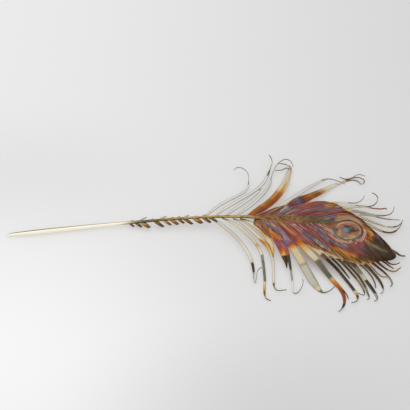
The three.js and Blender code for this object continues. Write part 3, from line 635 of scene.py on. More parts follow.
blade = {
    "from": 244,
    "tip": 380.5,
    "barbs": 84,
    "rowsPerBarb": 4,
    "rowsOut": 52,  # from the ridge to a margin
    "barbPitch": 1.8,  # mean width of a barb, for its grain
    "pointed": 0.035,  # how far a barb's point stands out of the margin
    "sweep": 2.2,  # over 1 crowds the barbs' roots towards the quill
    "marginRows": 24,  # rows between two given points of a margin
    "step": 0.3,  # from one chased barb up to the next
    "barbRise": [(0, -0.5), (0.2, 0.1), (0.5, 0.4), (0.8, 0.5)],  # share of the step across a barb
    "thinned": 0.7,  # how much of the sheet is filed off its margin
    "tickedFold": [(0.4, 0), (0.6, 1), (0.9, 1), (1, 0)],  # which barbs of the far margin are cut across
    "farMargin": [
        (244, 18.5), (252.5, 23), (261, 27.5), (270, 31.5), (280, 34), (288.5, 34.5), (297, 37), (305, 39.5),
        (313.5, 40), (321.5, 38), (328, 34.5), (335, 27), (342, 21), (349, 14.5), (355.5, 6), (362.5, -1),
        (369, -8.5), (375, -17), (379.5, -26.5),
    ],
    "farBow": (0.1, 0.14),
    "nearMargin": [
        (244, 14.5), (242.5, 10), (248.5, 3.5), (254, -3), (260.5, -8.5), (273, -12), (284, -17),
        (294, -18.5), (304, -20.5), (314, -24.5), (326, -31.5), (338, -36.5), (349, -38.5), (358, -37),
        (367, -35.5), (376, -34), (380.5, -30),
    ],
    "nearBow": (-0.1, 0.14),
    "swirl": (0.55, 13),  # how far barbs bend round the eye, and how near to it
    "ragged": 1.2,  # how unevenly the flame took on neighbouring barbs
    # Strokes of the flame: temper tint, half width, strength, and the way it went.
    "flames": [
        ("gold", 2.6, 1, (244, 7), (250, 1), (256.5, -6)),
        ("amber", 2.2, 1, (238.5, 14), (245, 8), (252, 2)),
        ("russet", 1.2, 0.9, (247, 11.5), (255, 5), (259.5, 0)),
        ("slate", 1.7, 1, (252, 10.5), (259, 5), (265.5, 0), (271.5, -6), (273, -10.5)),
        ("sage", 1.3, 1, (256, 10.5), (262, 5.5), (267.5, 1)),
        ("silver", 0.6, 0.7, (257, 10), (262, 6), (266.5, 2)),
        ("amber", 4.2, 1, (259.5, -0.5), (264.5, -4.5), (269, -10)),
        ("russet", 2, 0.9, (265.5, -7), (269, -11.5)),
        ("violet", 1.9, 1, (267, 2), (272.5, -3), (276, -9), (279, -13.5)),
        ("slate", 1.2, 0.9, (272, -8), (277, -13.5)),
        ("plum", 1.4, 1, (268.5, 4), (274.5, -2.5), (279, -9.5)),
        ("amber", 2.6, 1, (268, 11), (274.5, 4.5), (280, -1.5), (284, -6)),
        ("gold", 1, 0.8, (269.5, 8.5), (275.5, 3), (280, -1)),
        ("russet", 2.4, 1, (276.5, 4), (284, -3), (288.5, -9)), ("amber", 1.2, 0.8, (279.5, 1), (285, -3.5)),
        ("plum", 2.6, 1, (280, -5), (285, -10), (287.5, -14)),
        ("amber", 2.2, 1, (286.5, -10.5), (291.5, -14.5), (296.5, -18)),
        ("gold", 2.4, 1, (290.5, -15), (296.5, -18), (304, -20.5)),
        ("straw", 1.2, 0.9, (301, -19), (306, -20.5), (311.5, -24.5)),
        ("russet", 1.2, 1, (293.5, -11.5), (299.5, -15.5), (304, -17.5)),
        ("plum", 3, 1, (275.5, 12), (282.5, 6.5), (289, 0.5)),
        ("violet", 1.7, 1, (287, 1.5), (292, -2.5), (295.5, -7.5)),
        ("plum", 3.4, 1, (287.5, 10.5), (295, 4), (302.5, -3.5), (311, -10)),
        ("russet", 1.8, 1, (295, 2), (301.5, -3.5), (309, -9.5)),
        ("violet", 1.2, 0.8, (297, 8), (303.5, 1.5), (310.5, -4)),
        ("slate", 2.4, 1, (292, -3), (297.5, -8), (304, -13.5), (310, -16.5)),
        ("teal", 1.2, 1, (294.5, -5.5), (301.5, -11), (307, -15)),
        ("sage", 1.9, 1, (303, -12), (309, -16.5), (314.5, -21), (318.5, -24)),
        ("plum", 2.6, 1, (307.5, -9), (315, -14.5), (322.5, -19), (331, -22), (340.5, -24.5)),
        ("russet", 1.3, 0.9, (308.5, -7.5), (315, -13), (322.5, -18.5)),
        ("slate", 2, 1, (303.5, -1.5), (309.5, -7), (317, -12.5), (325.5, -16), (334, -19.5)),
        ("violet", 1.5, 1, (306.5, -0.5), (313, -7.5), (321.5, -13.5), (330.5, -17), (337, -21.5)),
        ("teal", 1, 0.9, (313, -9.5), (319, -13), (323.5, -15)),
        ("sage", 1.1, 0.9, (328.5, -16), (333, -18), (338, -21)), ("slate", 2.4, 1, (309.5, 0), (312.5, -3)),
        ("silver", 0.9, 0.6, (310.5, -0.5), (312, -2)), ("plum", 1.8, 1, (313.5, 4.5), (317.5, 1)),
        ("russet", 2, 1, (316.5, -18.5), (323.5, -22), (332, -24.5)),
        ("amber", 2.8, 1, (318.5, -19.5), (327, -24), (335.5, -28.5), (344, -33)),
        ("amber", 2.2, 1, (316.5, -22), (322, -27), (329, -30.5)),
        ("gold", 3.2, 1, (323, -25), (330.5, -30), (339, -34), (348.5, -37.5)),
        ("amber", 1.5, 0.9, (332, -25.5), (339.5, -29), (346, -33.5)),
        ("plum", 3.4, 1, (338, -18), (342.5, -23), (347, -28)),
        ("russet", 1.4, 1, (339.5, -22.5), (344.5, -26.5)),
        ("slate", 2.2, 1, (346.5, -19), (350, -23), (352, -27.5)),
        ("russet", 1.8, 1, (351, -9), (357, -12), (363.5, -15.5)),
        ("amber", 4.2, 1, (352.5, 4.5), (355.5, -0.5), (358, -7), (356, -12)),
        ("gold", 2.4, 1, (355, 2), (357.5, -2.5), (359, -7.5)), ("amber", 1.4, 1, (351.5, -13), (355, -14)),
        ("gold", 1.4, 1, (259.5, 23.5), (265.5, 27), (270.5, 31)),
        ("amber", 1.2, 0.9, (251.5, 22.5), (257.5, 24.5), (262.5, 25.5)),
        ("violet", 1.5, 1, (265.5, 21.5), (269, 25), (273.5, 29)),
        ("slate", 2.4, 1, (270, 21.5), (276, 25.5), (283, 29.5)), ("sage", 1, 1, (268.5, 23.5), (274, 28)),
        ("sage", 0.9, 1, (272.5, 22), (278.5, 27)), ("sage", 1.2, 1, (276, 21.5), (284, 25.5)),
        ("silver", 0.5, 0.8, (270.5, 24), (276.5, 29)),
        ("plum", 2.4, 1, (280, 27.5), (287.5, 32), (293.5, 35)),
        ("violet", 1.4, 1, (280, 22), (288, 25), (293, 27.5)),
        ("plum", 2.8, 1, (289, 27.5), (298, 30.5), (308, 31)),
        ("russet", 1.4, 0.9, (291, 30), (297.5, 33.5), (303.5, 34)),
        ("slate", 1.8, 1, (298, 25), (307, 25), (316, 26)),
        ("violet", 1.6, 0.9, (315, 26.5), (324, 27), (331.5, 26)),
        ("russet", 2.1, 1, (299.5, 21), (310.5, 21.5), (322.5, 22.5)),
        ("plum", 1.2, 1, (296.5, 19), (307.5, 19), (314.5, 19.5)), ("plum", 1.4, 1, (287, 21.5), (295, 22)),
        ("slate", 1.8, 1, (304.5, 33.5), (309.5, 34.5), (315.5, 35)),
        ("russet", 1.3, 1, (297.5, 34), (303.5, 36.5), (310.5, 37), (319.5, 36.5)),
        ("gold", 1.2, 1, (297.5, 36), (303.5, 39), (309.5, 40)),
        ("amber", 1.6, 1, (315, 31.5), (320, 33.5), (324, 33.5)),
        ("gold", 1.3, 1, (315, 30), (321, 31), (327, 30.5)),
        ("slate", 2.7, 1, (312.5, 16), (316.5, 16.5), (321, 16.5)),
        ("violet", 1.5, 1, (321, 19.5), (324, 17)), ("amber", 1.9, 1, (325.5, 20), (330.5, 21), (336, 20)),
        ("plum", 1.6, 0.9, (325.5, 23.5), (334.5, 22.5)),
    ],
    # Oxides, and painted highlights where the steel shines, over them: tint, half width, strength, and the
    # way.
    "oxidesAndHighlights": [
        ("mauve", 2.6, 0.6, (247.5, 23), (257.5, 23.5), (267, 22.5)),
        ("mauve", 2.8, 0.6, (278, 23.5), (287, 25), (296, 24.5)),
        ("mauve", 2.2, 0.6, (288.5, 10.5), (298, 7.5), (307, 3)),
        ("mauve", 2, 0.5, (251, 11.5), (261, 11), (271.5, 11)),
        ("bronze", 3.4, 0.9, (232.5, 17.5), (245.5, 17.5), (259, 17), (274, 16.5), (287.5, 15)),
        ("gold", 0.8, 0.55, (235.5, 16), (240.5, 15.5), (247, 15.5), (255, 14.5)),
        ("amber", 0.8, 0.5, (261, 14), (269, 13.5), (276.5, 13)),
        ("olive", 3.2, 0.8, (290.5, 14.5), (298.5, 13.5), (304, 12.5)),
        ("olive", 4.8, 0.85, (300.5, 13), (309, 11.5), (317, 10)),
        ("bronze", 1, 0.6, (288.5, 17.5), (296.5, 17.5), (302.5, 16.5)),
        ("pewter", 2.2, 0.7, (304.5, 15.5), (310, 13.5), (316, 11.5)),
        ("teal", 1, 0.5, (312, 15.5), (317, 13)), ("umber", 0.5, 0.7, (293.5, 14.5), (299.5, 12.5)),
        ("gold", 0.5, 0.5, (266, 18), (274, 17.5), (282, 17)),
        ("umber", 0.5, 0.6, (251, 16.5), (261, 16), (271, 15)),
        ("moss", 0.6, 0.6, (280.5, 14.5), (290.5, 13), (300, 11)),
        ("sage", 0.6, 0.5, (300.5, 14.5), (306, 13), (311, 11.5)),
        ("bronze", 0.6, 0.7, (291.5, 12), (297.5, 11)), ("sage", 1.2, 0.45, (314, 13), (318, 10)),
        ("umber", 1.2, 0.7, (307, 9), (314, 7), (320.5, 6.5)),
        ("bronze", 1.6, 0.7, (320.5, 8.5), (324.5, 9), (327.5, 10.5)),
        ("umber", 0.6, 0.8, (243.5, 12.5), (250, 6.5), (256.5, 0)),
        ("umber", 0.6, 0.75, (245.5, 7), (251, 1.5), (257.5, -4.5)),
        ("umber", 0.5, 0.7, (250, 11), (256, 6), (260.5, 1)),
        ("ink", 1, 0.85, (255, 7), (261.5, 1), (268.5, -4.5), (272, -9)),
        ("umber", 0.6, 0.7, (262, 10.5), (268.5, 5), (273.5, -1)),
        ("umber", 0.6, 0.7, (274.5, -2), (278, -7.5), (282, -12.5)),
        ("umber", 0.6, 0.7, (271.5, 11), (278.5, 5.5), (285, -1)),
        ("umber", 0.5, 0.7, (280.5, 9.5), (287, 4), (293, -1.5)),
        ("ink", 0.9, 0.8, (288, 0.5), (293.5, -5.5), (299.5, -11), (304, -15)),
        ("ink", 0.8, 0.8, (296.5, -6), (303.5, -11), (311, -16)),
        ("soot", 0.8, 0.85, (300.5, -14), (307, -18), (314.5, -22.5)),
        ("soot", 0.8, 0.8, (290.5, -13), (295.5, -16.5), (301, -20)),
        ("umber", 0.5, 0.7, (293, 8.5), (301, 1.5), (308.5, -5.5)),
        ("umber", 0.5, 0.6, (300, 9), (307.5, 2), (315, -5.5)),
        ("umber", 0.7, 0.7, (305, -14), (312.5, -19.5), (320.5, -25)),
        ("blush", 1.5, 0.7, (241.5, 11.5), (246, 8), (250, 3.5)),
        ("bronze", 1.8, 0.7, (235.5, 14.5), (243.5, 13), (251, 12)),
        ("pearl", 0.6, 0.85, (270, 25), (275.5, 29.5)), ("pearl", 0.5, 0.8, (273, 22), (280, 28)),
        ("pearl", 0.45, 0.7, (277, 21.5), (285, 26.5)),
        ("blush", 0.6, 0.9, (260, 9), (265.5, 4), (271.5, -1.5)),
        ("blush", 0.7, 0.9, (270.5, 6.5), (276.5, 1.5), (281, -3.5)),
        ("blush", 0.5, 0.85, (274.5, 10.5), (281.5, 5.5), (288, -0.5)),
        ("pearl", 0.5, 0.8, (279.5, 9.5), (285.5, 5), (290, 1)),
        ("blush", 0.6, 0.9, (286.5, 8.5), (291, 3.5), (297, -2)),
        ("pearl", 0.5, 0.7, (291.5, 10), (298, 4.5), (304.5, -2)),
        ("blush", 0.5, 0.8, (297, 9.5), (304, 3.5), (309.5, -1)),
        ("pearl", 0.6, 0.9, (304, 9), (309.5, 4), (316.5, -1)),
        ("lilac", 1.5, 0.85, (269.5, -1.5), (274, -7.5), (278, -13)),
        ("lilac", 1, 0.8, (274, -10.5), (278, -14.5)),
        ("lilac", 0.8, 0.7, (307.5, -4), (314, -10), (322.5, -15)),
        ("lilac", 1, 0.6, (320.5, -14.5), (326.5, -17)),
        ("salmon", 1.8, 0.85, (261.5, -2), (265.5, -6), (268, -10)),
        ("salmon", 1.5, 0.8, (274.5, 3), (279, -1), (283, -5)),
        ("salmon", 1, 0.7, (324.5, 20.5), (330.5, 21)),
        ("blush", 0.6, 0.85, (294, 34), (299.5, 37.5), (306.5, 40.5)),
        ("mauve", 1.6, 0.7, (307, 29), (317, 28.5), (327, 28)),
        ("umber", 0.5, 0.7, (259, 21.5), (266.5, 25.5), (271.5, 29.5)),
        ("ink", 0.8, 0.8, (273, 21.5), (279, 26), (286.5, 31)),
        ("umber", 0.5, 0.7, (282, 22.5), (289, 26), (298, 27.5)),
        ("blush", 0.5, 0.75, (277, 27), (285.5, 31.5), (293.5, 35)),
        ("blush", 0.5, 0.7, (284, 24), (292, 28), (300, 30)),
        ("blush", 0.45, 0.6, (289, 23), (298, 26.5), (307, 28)),
        ("umber", 0.5, 0.6, (295, 21.5), (304.5, 23), (316.5, 24.5)),
        ("blush", 1.2, 0.95, (314, -3.5), (318, -7), (323, -11), (328.5, -14)),
        ("salmon", 0.7, 0.6, (314.5, -4), (318, -7.5), (322, -10.5)),
        ("umber", 0.5, 0.7, (316, -9.5), (322.5, -13.5), (330.5, -16)),
        ("tan", 1.2, 0.9, (313.5, 3), (317.5, 0), (319, -3)),
        ("sage", 1.4, 0.95, (318, 1), (319, -3), (322.5, -7), (326.5, -10.5)),
        ("pearl", 0.8, 0.9, (320, -1.5), (322, -5)),
        ("tan", 1.6, 0.9, (324.5, -11.5), (330.5, -14), (337, -14.5), (344, -13)),
        ("sage", 1.3, 0.7, (342, -13), (347, -10.5), (350, -7)),
        ("tan", 1.4, 0.8, (347, -13), (350.5, -9.5)),
        ("tan", 2.8, 0.95, (324, 12.5), (329, 15.5), (336, 15.5), (342.5, 12.5), (348, 7.5)),
        ("tan", 1.7, 0.9, (326, 11.5), (331, 13.5), (337, 14), (342.5, 11.5), (348, 6)),
        ("gold", 1.4, 0.6, (323.5, 15.5), (327, 17.5)),
        ("tan", 1.8, 0.85, (350.5, 1.5), (351.5, -4), (350, -9.5)),
        ("bronze", 2.6, 0.6, (312, 6.5), (316.5, 4.5), (320.5, 3)),
        ("honey", 2.6, 0.9, (319.5, -21), (329, -26), (336.5, -30), (345, -34)),
        ("umber", 3.2, 0.34, (316.5, -22), (330, -28.5), (343, -34.5)),
        ("umber", 3.4, 0.38, (317.5, -14.5), (328.5, -18.5), (339, -22.5)),
        ("slate", 2, 0.4, (322.5, -16.5), (332, -20)), ("gold", 1.8, 0.4, (245, 12.5), (253, 6), (259.5, 0)),
        ("bone", 1.4, 0.8, (351.5, 0.5), (352, -3.5)), ("tan", 1.4, 0.8, (349.5, 5.5), (351.5, 1)),
        ("umber", 2.1, 0.9, (330.5, 24.5), (338.5, 21), (345, 17), (351.5, 10.5), (357, 4.5), (361.5, -0.5)),
        ("plum", 0.8, 0.6, (335, 20), (342, 17.5), (347.5, 12)),
        ("umber", 2, 0.7, (360.5, -1), (363, -5.5), (366, -10.5)),
        ("slate", 1.3, 0.6, (363, -5.5), (366, -10.5), (368.5, -16.5)),
        ("ink", 4.5, 0.4, (341.5, -22.5), (349, -26)),
        ("char", 5.5, 0.9, (353, -27.5), (360.5, -29), (370.5, -30.5)),
        ("char", 4, 0.7, (351.5, -20), (357, -23), (363, -25)),
        ("char", 5, 0.85, (362.5, -14), (367, -19), (372.5, -24.5)),
        ("char", 2.8, 0.75, (360, -8.5), (365.5, -15.5), (371, -23.5)),
        ("soot", 5.5, 0.9, (370, -9.5), (374, -19.5), (378, -30)),
        ("umber", 1, 0.8, (352, -10.5), (358.5, -13.5), (365.5, -18), (371.5, -24.5)),
        ("soot", 6, 0.95, (353, -32.5), (364.5, -34), (377, -32.5)),
        ("olive", 2.6, 0.8, (341.5, -31.5), (349, -33), (356.5, -35)),
        ("umber", 3, 0.7, (345, -29), (353, -29.5), (362.5, -30)),
        ("char", 3.4, 0.75, (353.5, -21), (362, -25.5), (372.5, -29)),
        ("olive", 1.8, 0.6, (352.5, -18.5), (360, -24), (368.5, -28)),
        ("soot", 1.6, 0.8, (361, -24.5), (368.5, -27), (376.5, -29)),
        ("umber", 1.4, 0.7, (351.5, -18.5), (358, -22.5), (366, -26)),
        ("olive", 2.2, 0.7, (354.5, -16.5), (362, -20.5), (370.5, -25)),
        ("olive", 3.4, 0.6, (353.5, -16), (361.5, -19.5), (370, -24.5)),
        ("sage", 1.3, 0.7, (354.5, -16), (358.5, -18), (362, -20)),
        ("sage", 2.2, 0.6, (359, -18.5), (362, -20), (365.5, -22)),
        ("tan", 0.8, 0.5, (357.5, -17.5), (362, -19.5)),
        ("sage", 1.1, 0.6, (364, -21.5), (368, -23), (371, -24.5)),
        ("ink", 1.2, 0.6, (349.5, -25), (354, -27.5)),
        ("moss", 7, 0.35, (356.5, -18.5), (366, -22.5), (373.5, -26.5)),
        ("slate", 1.6, 0.45, (362.5, -5), (366, -10.5), (368.5, -15)),
        ("plum", 2.6, 0.45, (340, -20), (344.5, -23.5), (348, -27)),
        ("blush", 0.8, 0.7, (351.5, -13), (354.5, -14.5)),
        ("umber", 0.6, 0.8, (327, -28.5), (332.5, -32), (338, -35)),
        ("pearl", 0.7, 0.8, (306, -16), (311.5, -20), (317.5, -24)),
        ("blush", 0.6, 0.7, (316.5, -26), (322, -29.5), (328, -32.5)),
        ("soot", 0.9, 0.85, (336.5, -29.5), (341, -32.5), (346, -36)),
        ("umber", 0.8, 0.7, (344, -31.5), (351, -35), (356.5, -38)),
    ],
}


def smoothPlan(points, share):
    line = smoothLine(points, blade["marginRows"])
    place = share * (len(line) - 1)
    return np.stack([np.interp(place, np.arange(len(line)), line[:, k]) for k in (0, 1)], 1)


def barbFan(margin, side, bow):
    # plan places of every row of barbs on one side, from the ridge out
    b = np.linspace(0, 1, blade["barbs"] * blade["rowsPerBarb"] + 1)
    ends = smoothPlan(margin, b)
    rootX = blade["from"] + (blade["tip"] - blade["from"]) * b ** blade["sweep"]
    root = np.stack([rootX, ridgeAt(rootX)[0]], 1)
    chord = ends - root
    outward = np.stack([-chord[:, 1], chord[:, 0]], 1) * side
    middle = (root + ends) / 2 + outward * valueAlong(enumerate(bow), b)[:, None]
    v = np.linspace(0, 1, blade["rowsOut"] + 1)[None, :, None]
    # every barb ends in a point of its own
    point = 1 - blade["pointed"] * (1 - (b * blade["barbs"]) % 1)
    v = v * point[:, None, None]
    plan = (1 - v) ** 2 * root[:, None] + 2 * v * (1 - v) * middle[:, None] + v**2 * ends[:, None]
    away = plan - np.array(eye["centre"])
    push, near = blade["swirl"]
    return b, v[..., 0], plan + away * push * np.exp(-(away**2).sum(2, keepdims=True) / near**2)


def distanceTo(route, spots):
    # shortest distance from each spot to a bent line
    best = np.full(spots.shape[:-1], 1e9)
    for a, b in zip(route[:-1], route[1:]):
        span = b - a
        t = np.clip(((spots - a) @ span) / (span @ span), 0, 1)
        best = np.minimum(best, np.linalg.norm(spots - a - t[..., None] * span, axis=-1))
    return best


def stroke(spots, wide, strength, route):
    line = smoothLine(route, 4) if len(route) > 2 else np.array(route, float)
    return strength * (1 - smoothStep(0.45, 1.05, distanceTo(line, spots) / wide))


def paintBlade(b, plan, side):
    along = np.gradient(plan, axis=1)
    along /= np.maximum(np.linalg.norm(along, axis=2, keepdims=True), 1e-9)
    length = np.cumsum(np.linalg.norm(np.diff(plan, axis=1, prepend=plan[:, :1]), axis=2), 1)
    count = b * blade["barbs"]
    barb = np.floor(count).astype(int)
    own = chance.normal(0, 1, (blade["barbs"] + 1, 4))[barb]
    aside = (count * blade["barbPitch"] + side * 150)[:, None]
    uneven = blade["ragged"] * (own[:, :1] + 0.8 * streaks(length, aside, 8, 0.5))
    uneven = uneven * (1 - 0.7 * smoothStep(0.72, 0.9, b))[:, None]
    spots = plan + along * uneven[..., None]

    heat = np.full(plan.shape[:2], float(temperScale.index("plum")))
    for name, wide, strength, *route in blade["flames"]:
        here = stroke(spots, wide, strength, route)
        heat = heat + (temperScale.index(name) - heat) * here
    lively = 1 - 0.8 * smoothStep(0.74, 0.92, b)[:, None]
    heat = heat + (0.3 * own[:, 1:2] + 0.8 * streaks(length, aside, 16, 0.7)) * lively
    rgb = temperColour(heat)
    # oxides and painted highlights over the heat tints
    for name, wide, strength, *route in blade["oxidesAndHighlights"]:
        rgb = blend(rgb, name, stroke(spots, wide, strength, route))
    # hair lines, pale and dark
    hair = streaks(length + 60, aside + 9, 13, 0.5) * (0.4 + 0.6 * lively)
    rgb = blend(rgb, "pearl", 0.5 * smoothStep(0.45, 0.9, hair))
    rgb = blend(rgb, "ink", 0.55 * smoothStep(0.4, 0.9, -hair))
    # painted shade in the gaps between barbs, and a painted highlight along their upper edges
    f = (count % 1)[:, None]
    uneven = 0.6 + 0.4 * streaks(length, aside, 10, 1.8)
    rgb = rgb * (1 + 0.09 * own[:, 2:3] * uneven)[..., None]
    gapShade = (0.55 + 0.2 * own[:, 3:]) * (1 - smoothStep(0.1, 0.35, np.abs(f - 0.1))) * uneven
    rgb = blend(rgb, "umber", gapShade)
    upperEdge = 1 - smoothStep(0.1, 0.3, np.abs(f - 0.5))
    shine = np.clip(0.3 + 0.25 * own[:, 2:3], 0, 0.7) * upperEdge * uneven
    shine = shine * (1.5 - 0.6 * smoothStep(6, 26, length))
    return blend(rgb, "blush", shine * lively), length


def bladeSheet():
    sides = []
    for half, side in (("far", 1), ("near", -1)):
        b, v, plan = barbFan(blade[half + "Margin"], side, blade[half + "Bow"])
        rgb, length = paintBlade(b, plan, side)
        # each barb climbs to a step over the next, and the margin is thin
        pitch = np.linalg.norm(np.gradient(plan, axis=0), axis=2) * blade["rowsPerBarb"]
        f = (b * blade["barbs"]) % 1
        rise = valueAlong(blade["barbRise"], f)[:, None]
        relief = blade["step"] * rise * np.minimum(1, pitch / 1.6) * smoothStep(0.0, 0.1, v)
        thick = sheet / 2 * (1 - blade["thinned"] * smoothStep(0.92, 1, v))
        z = bladeHeight(plan[..., 0], plan[..., 1])
        fold = smoothStep(0.8, 0.97, v) * valueAlong(blade["tickedFold"], b)[:, None]
        ticks = 0.35 + 0.6 * fold * (side > 0) + 0.3 * (1 - smoothStep(0.2, 0.5, v))
        out = (b * blade["barbs"] * blade["barbPitch"])[:, None]
        grain = np.stack(np.broadcast_arrays(length, out, side * 5), -1)
        top = np.dstack([plan, z + thick + relief])
        under = np.dstack([plan, z - thick])
        sides.append((top, under, rgb, ticks[..., None], grain))
    far, near = sides

    def across(k):
        return np.concatenate([far[k][:, :0:-1], near[k]], 1)

    def around(k):
        return np.concatenate([across(k), across(k)[:, ::-1]], 1)

    rings = np.concatenate([across(0), across(1)[:, ::-1]], 1)
    grain = around(4)
    return closedSolid(rings, around(2), around(3)[..., 0], (grain[..., 0], grain[..., 1], grain[..., 2]))


addPiece("chased_blade", [bladeSheet()], "blade_steel", "blade")
print("blade chased")

# Strips slit from the blade's margins. Points are x, y, z, width, and without z a point lies under
# the blade. Tints and bands are placed by counting the points from 0 at the root.
# The darkest bands along these strips are dark reflections painted into their colour.
farFringe = [
    {
        "points": [
            (255, 19, 3), (265, 28, 4.4), (280, 41.5, 6.4, 4.8), (292, 53.5, 4.4, 4.2), (303, 63, 3.2, 3.4),
            (312.5, 70, 2.6, 2.4), (320, 72, 3, 1.5), (328, 69.5, 3.4, 1.1), (336, 64, 4.4, 0.9),
        ],
        "onEdge": (5, 6), "left": [(0, "gold"), (0.8, "straw"), (2, "silver")],
        "right": [(0, "gold"), (1.4, "straw"), (3, "silver")], "bands": [("pewter", 5.1, 5.5, 0.6)],
    },
    {
        "points": [
            (268, 19, 8), (276.5, 27, 9.5), (287, 37.5, 7.4, 12), (297.5, 45, 5.6, 9.6),
            (308, 52.5, 3.7, 7.5), (318, 60, 2, 5.5), (327, 66, 1, 3.4), (338, 72, 0.6, 2),
            (345, 76, 1, 1.3), (351, 79, 2, 1), (357, 75, 4, 0.8),
        ],
        "onEdge": (7, 8), "mottle": 1.3,
        "left": [
            (0, "sage"), (1.1, "sage"), (1.3, "slate"), (1.5, "plum"), (1.75, "russet"), (2, "slate"),
            (2.2, "teal"), (2.4, "slate"), (2.6, "plum"), (2.8, "amber"), (3.3, "gold"), (4.3, "straw"),
            (6, "silver"),
        ],
        "right": [
            (0, "plum"), (1, "violet"), (1.6, "slate"), (1.9, "violet"), (2.2, "plum"), (2.6, "russet"),
            (3, "russet"), (3.4, "amber"), (3.9, "russet"), (4.5, "gold"), (5, "straw"), (6, "silver"),
        ],
        # a painted highlight along its edges
        "rim": 0.9, "rimFrom": 0.84, "rimTint": "blush",
        "bands": [
            ("pearl", 0.7, 1.2, 0.4), ("umber", 1.3, 1.6, 0.5), ("ink", 2.3, 2.55, 0.6),
            ("umber", 2.6, 4.6, 0.25), ("umber", 3.5, 4.15, 0.35), ("umber", 6.9, 7.5, 0.8),
        ],
        "ticks": [(0.4, 3.4, 0.8)],
    },
    {
        "points": [
            (330, 67.5, 0.8, 1.2), (338, 72, 0.9, 1.4), (346, 75, 1.6, 1.1), (352, 74, 2.4, 1),
            (356, 69, 3.4, 1), (354, 64, 4.4, 0.8),
        ],
        "left": [(0, "straw"), (2, "gold")], "bands": [("umber", 1, 6, 0.65)],
    },
    {
        "points": [
            (330, 67, 0.7, 1.2), (338, 71, 0.6, 1.3), (344, 72.5, 0.7, 1.1), (349, 71, 1, 1),
            (353, 66, 1.6, 0.8),
        ],
        "left": [(0, "straw"), (2, "gold")], "bands": [("umber", 1, 6, 0.7)],
    },
    {
        "points": [(343, 75, 1, 0.9), (340, 73.5, 1.2, 1.1), (336, 73, 2, 1), (331, 74, 3.4, 0.8)],
        "left": [(0, "gold")], "bands": [("umber", 0, 4, 0.7)],
    },
    {
        "points": [
            (311.5, 35.5, 3), (320.5, 37, 3), (327.5, 38.5, 5.8, 2.4), (334.5, 38.5, 5.8, 1.7),
            (340.5, 38, 5.8, 1.4), (345.5, 38, 5.8, 1.2), (349.5, 40, 5.8, 1.1), (352.5, 43, 5.9, 1),
            (354.5, 47.5, 6.4, 0.8),
        ],
        "onEdge": (3, 4), "left": [(0, "gold"), (1.6, "straw"), (2.4, "bone")], "wire": 0.6,
    },
    {
        "points": [
            (317, 31, 3), (325, 32, 3), (332, 34, 6.4, 2.6), (341.5, 35, 6, 1.8), (350, 34.5, 5.4, 1.4),
            (357, 34, 4.9, 1.3), (362, 35.5, 4.7, 1.2), (365, 38, 4.6, 1.3), (367.5, 42.5, 4.6, 1.3),
            (367.5, 46.5, 5, 1.2), (365.5, 49, 5.8, 1), (362, 50.5, 6.6, 0.8),
        ],
        "onEdge": (4, 5), "left": [(0, "gold"), (1.6, "straw"), (2.6, "bone")],
        "bands": [("pewter", 3.4, 12, 0.6)], "wire": 0.75, "wireTint": "umber",
    },
    {
        "points": [
            (324, 27.5, 3), (334, 29.5, 2.6), (344, 32, 6.2, 1.8), (353, 33, 5.4, 1.5),
            (359, 32.5, 4.9, 1.5), (365, 31.5, 4.6, 1.5), (371, 31.5, 4.4, 1.4), (374.5, 32, 4.4, 1.2),
            (376, 30.5, 4.4, 0.8),
        ],
        "left": [(0, "gold"), (1.6, "straw"), (3, "bone"), (4, "gold"), (5, "amber")],
        "bands": [("umber", 4, 8.5, 0.65)],
    },
    {
        "points": [
            (326.5, 24.5, 3), (335.5, 26, 3.4), (344.5, 26.5, 6.6, 3.2), (352.5, 25.5, 5.6, 2.8),
            (359.5, 24, 4.8, 2.2), (367.5, 23, 4.2, 1.7), (375, 23.5, 4, 1.4), (379.5, 25.5, 4.4, 1.3),
            (382, 28.5, 5, 1.1), (383, 33, 6.4, 0.8),
        ],
        "onEdge": (5, 6), "left": [(0, "gold"), (1.5, "straw"), (2.6, "bone")],
        "bands": [("pewter", 1.5, 4.6, 0.3), ("umber", 4.8, 10, 0.6)], "ticks": [(1.4, 5, 0.9)], "rim": 0.8,
        "wire": 0.7,
    },
    {
        "points": [
            (333.5, 21.5, 3), (342.5, 21.5, 3), (352.5, 22.5, 6, 2.4), (361.5, 21.5, 5.2, 1.8),
            (369, 19.5, 4.7, 1.5), (377, 18, 4.4, 1.4), (387.5, 17.5, 4, 0.9),
        ],
        "left": [(0, "gold"), (1.5, "straw"), (4, "straw"), (6, "silver")],
        "bands": [("pewter", 1.6, 3.2, 0.3), ("umber", 3.4, 5.2, 0.6), ("pewter", 5.3, 7, 0.6)],
        "ticks": [(1.4, 3.2, 0.5)],
    },
    {
        "points": [
            (337, 19, 3), (345, 18.5, 3.6), (352, 17, 6.6, 3.4), (359, 14.5, 5.2, 2.8),
            (365.5, 12.5, 3.9, 2.2), (372.5, 10.5, 2.9, 1.8), (379.5, 10, 2.2, 1.6), (385, 11, 2.4, 1.5),
            (388.5, 13.5, 3.4, 1.3), (390.5, 17, 4.6, 1),
        ],
        "onEdge": (6, 7), "left": [(0, "straw"), (2.4, "bone"), (6, "straw"), (9, "gold")],
        "right": [(0, "gold"), (2, "straw"), (3.6, "bone"), (9, "gold")], "rim": 0.8,
        "bands": [("pewter", 5.4, 10, 0.55), ("umber", 6.2, 10, 0.5)], "ticks": [(1.2, 5, 1)], "wire": 0.75,
    },
    {
        "points": [
            (342, 14, 3), (348.5, 12, 3.6), (355.5, 10, 6.2, 3.4), (362, 6.5, 5, 3), (367.5, 4, 4, 2.6),
            (373.5, 2.5, 3, 2.3), (379.5, 3, 2.6, 2.1), (384.5, 6, 3, 1.8), (388, 10.5, 4, 1.2),
            (389.5, 14, 4.6, 0.9),
        ],
        "onEdge": (6, 7), "left": [(0, "straw"), (4, "straw"), (6, "gold")], "rim": 0.8,
        "right": [(0, "straw"), (3, "straw"), (5, "gold"), (6.4, "amber")],
        "bands": [("umber", 4.4, 10, 0.75)], "ticks": [(1, 6, 0.95)], "wire": 0.8,
    },
]
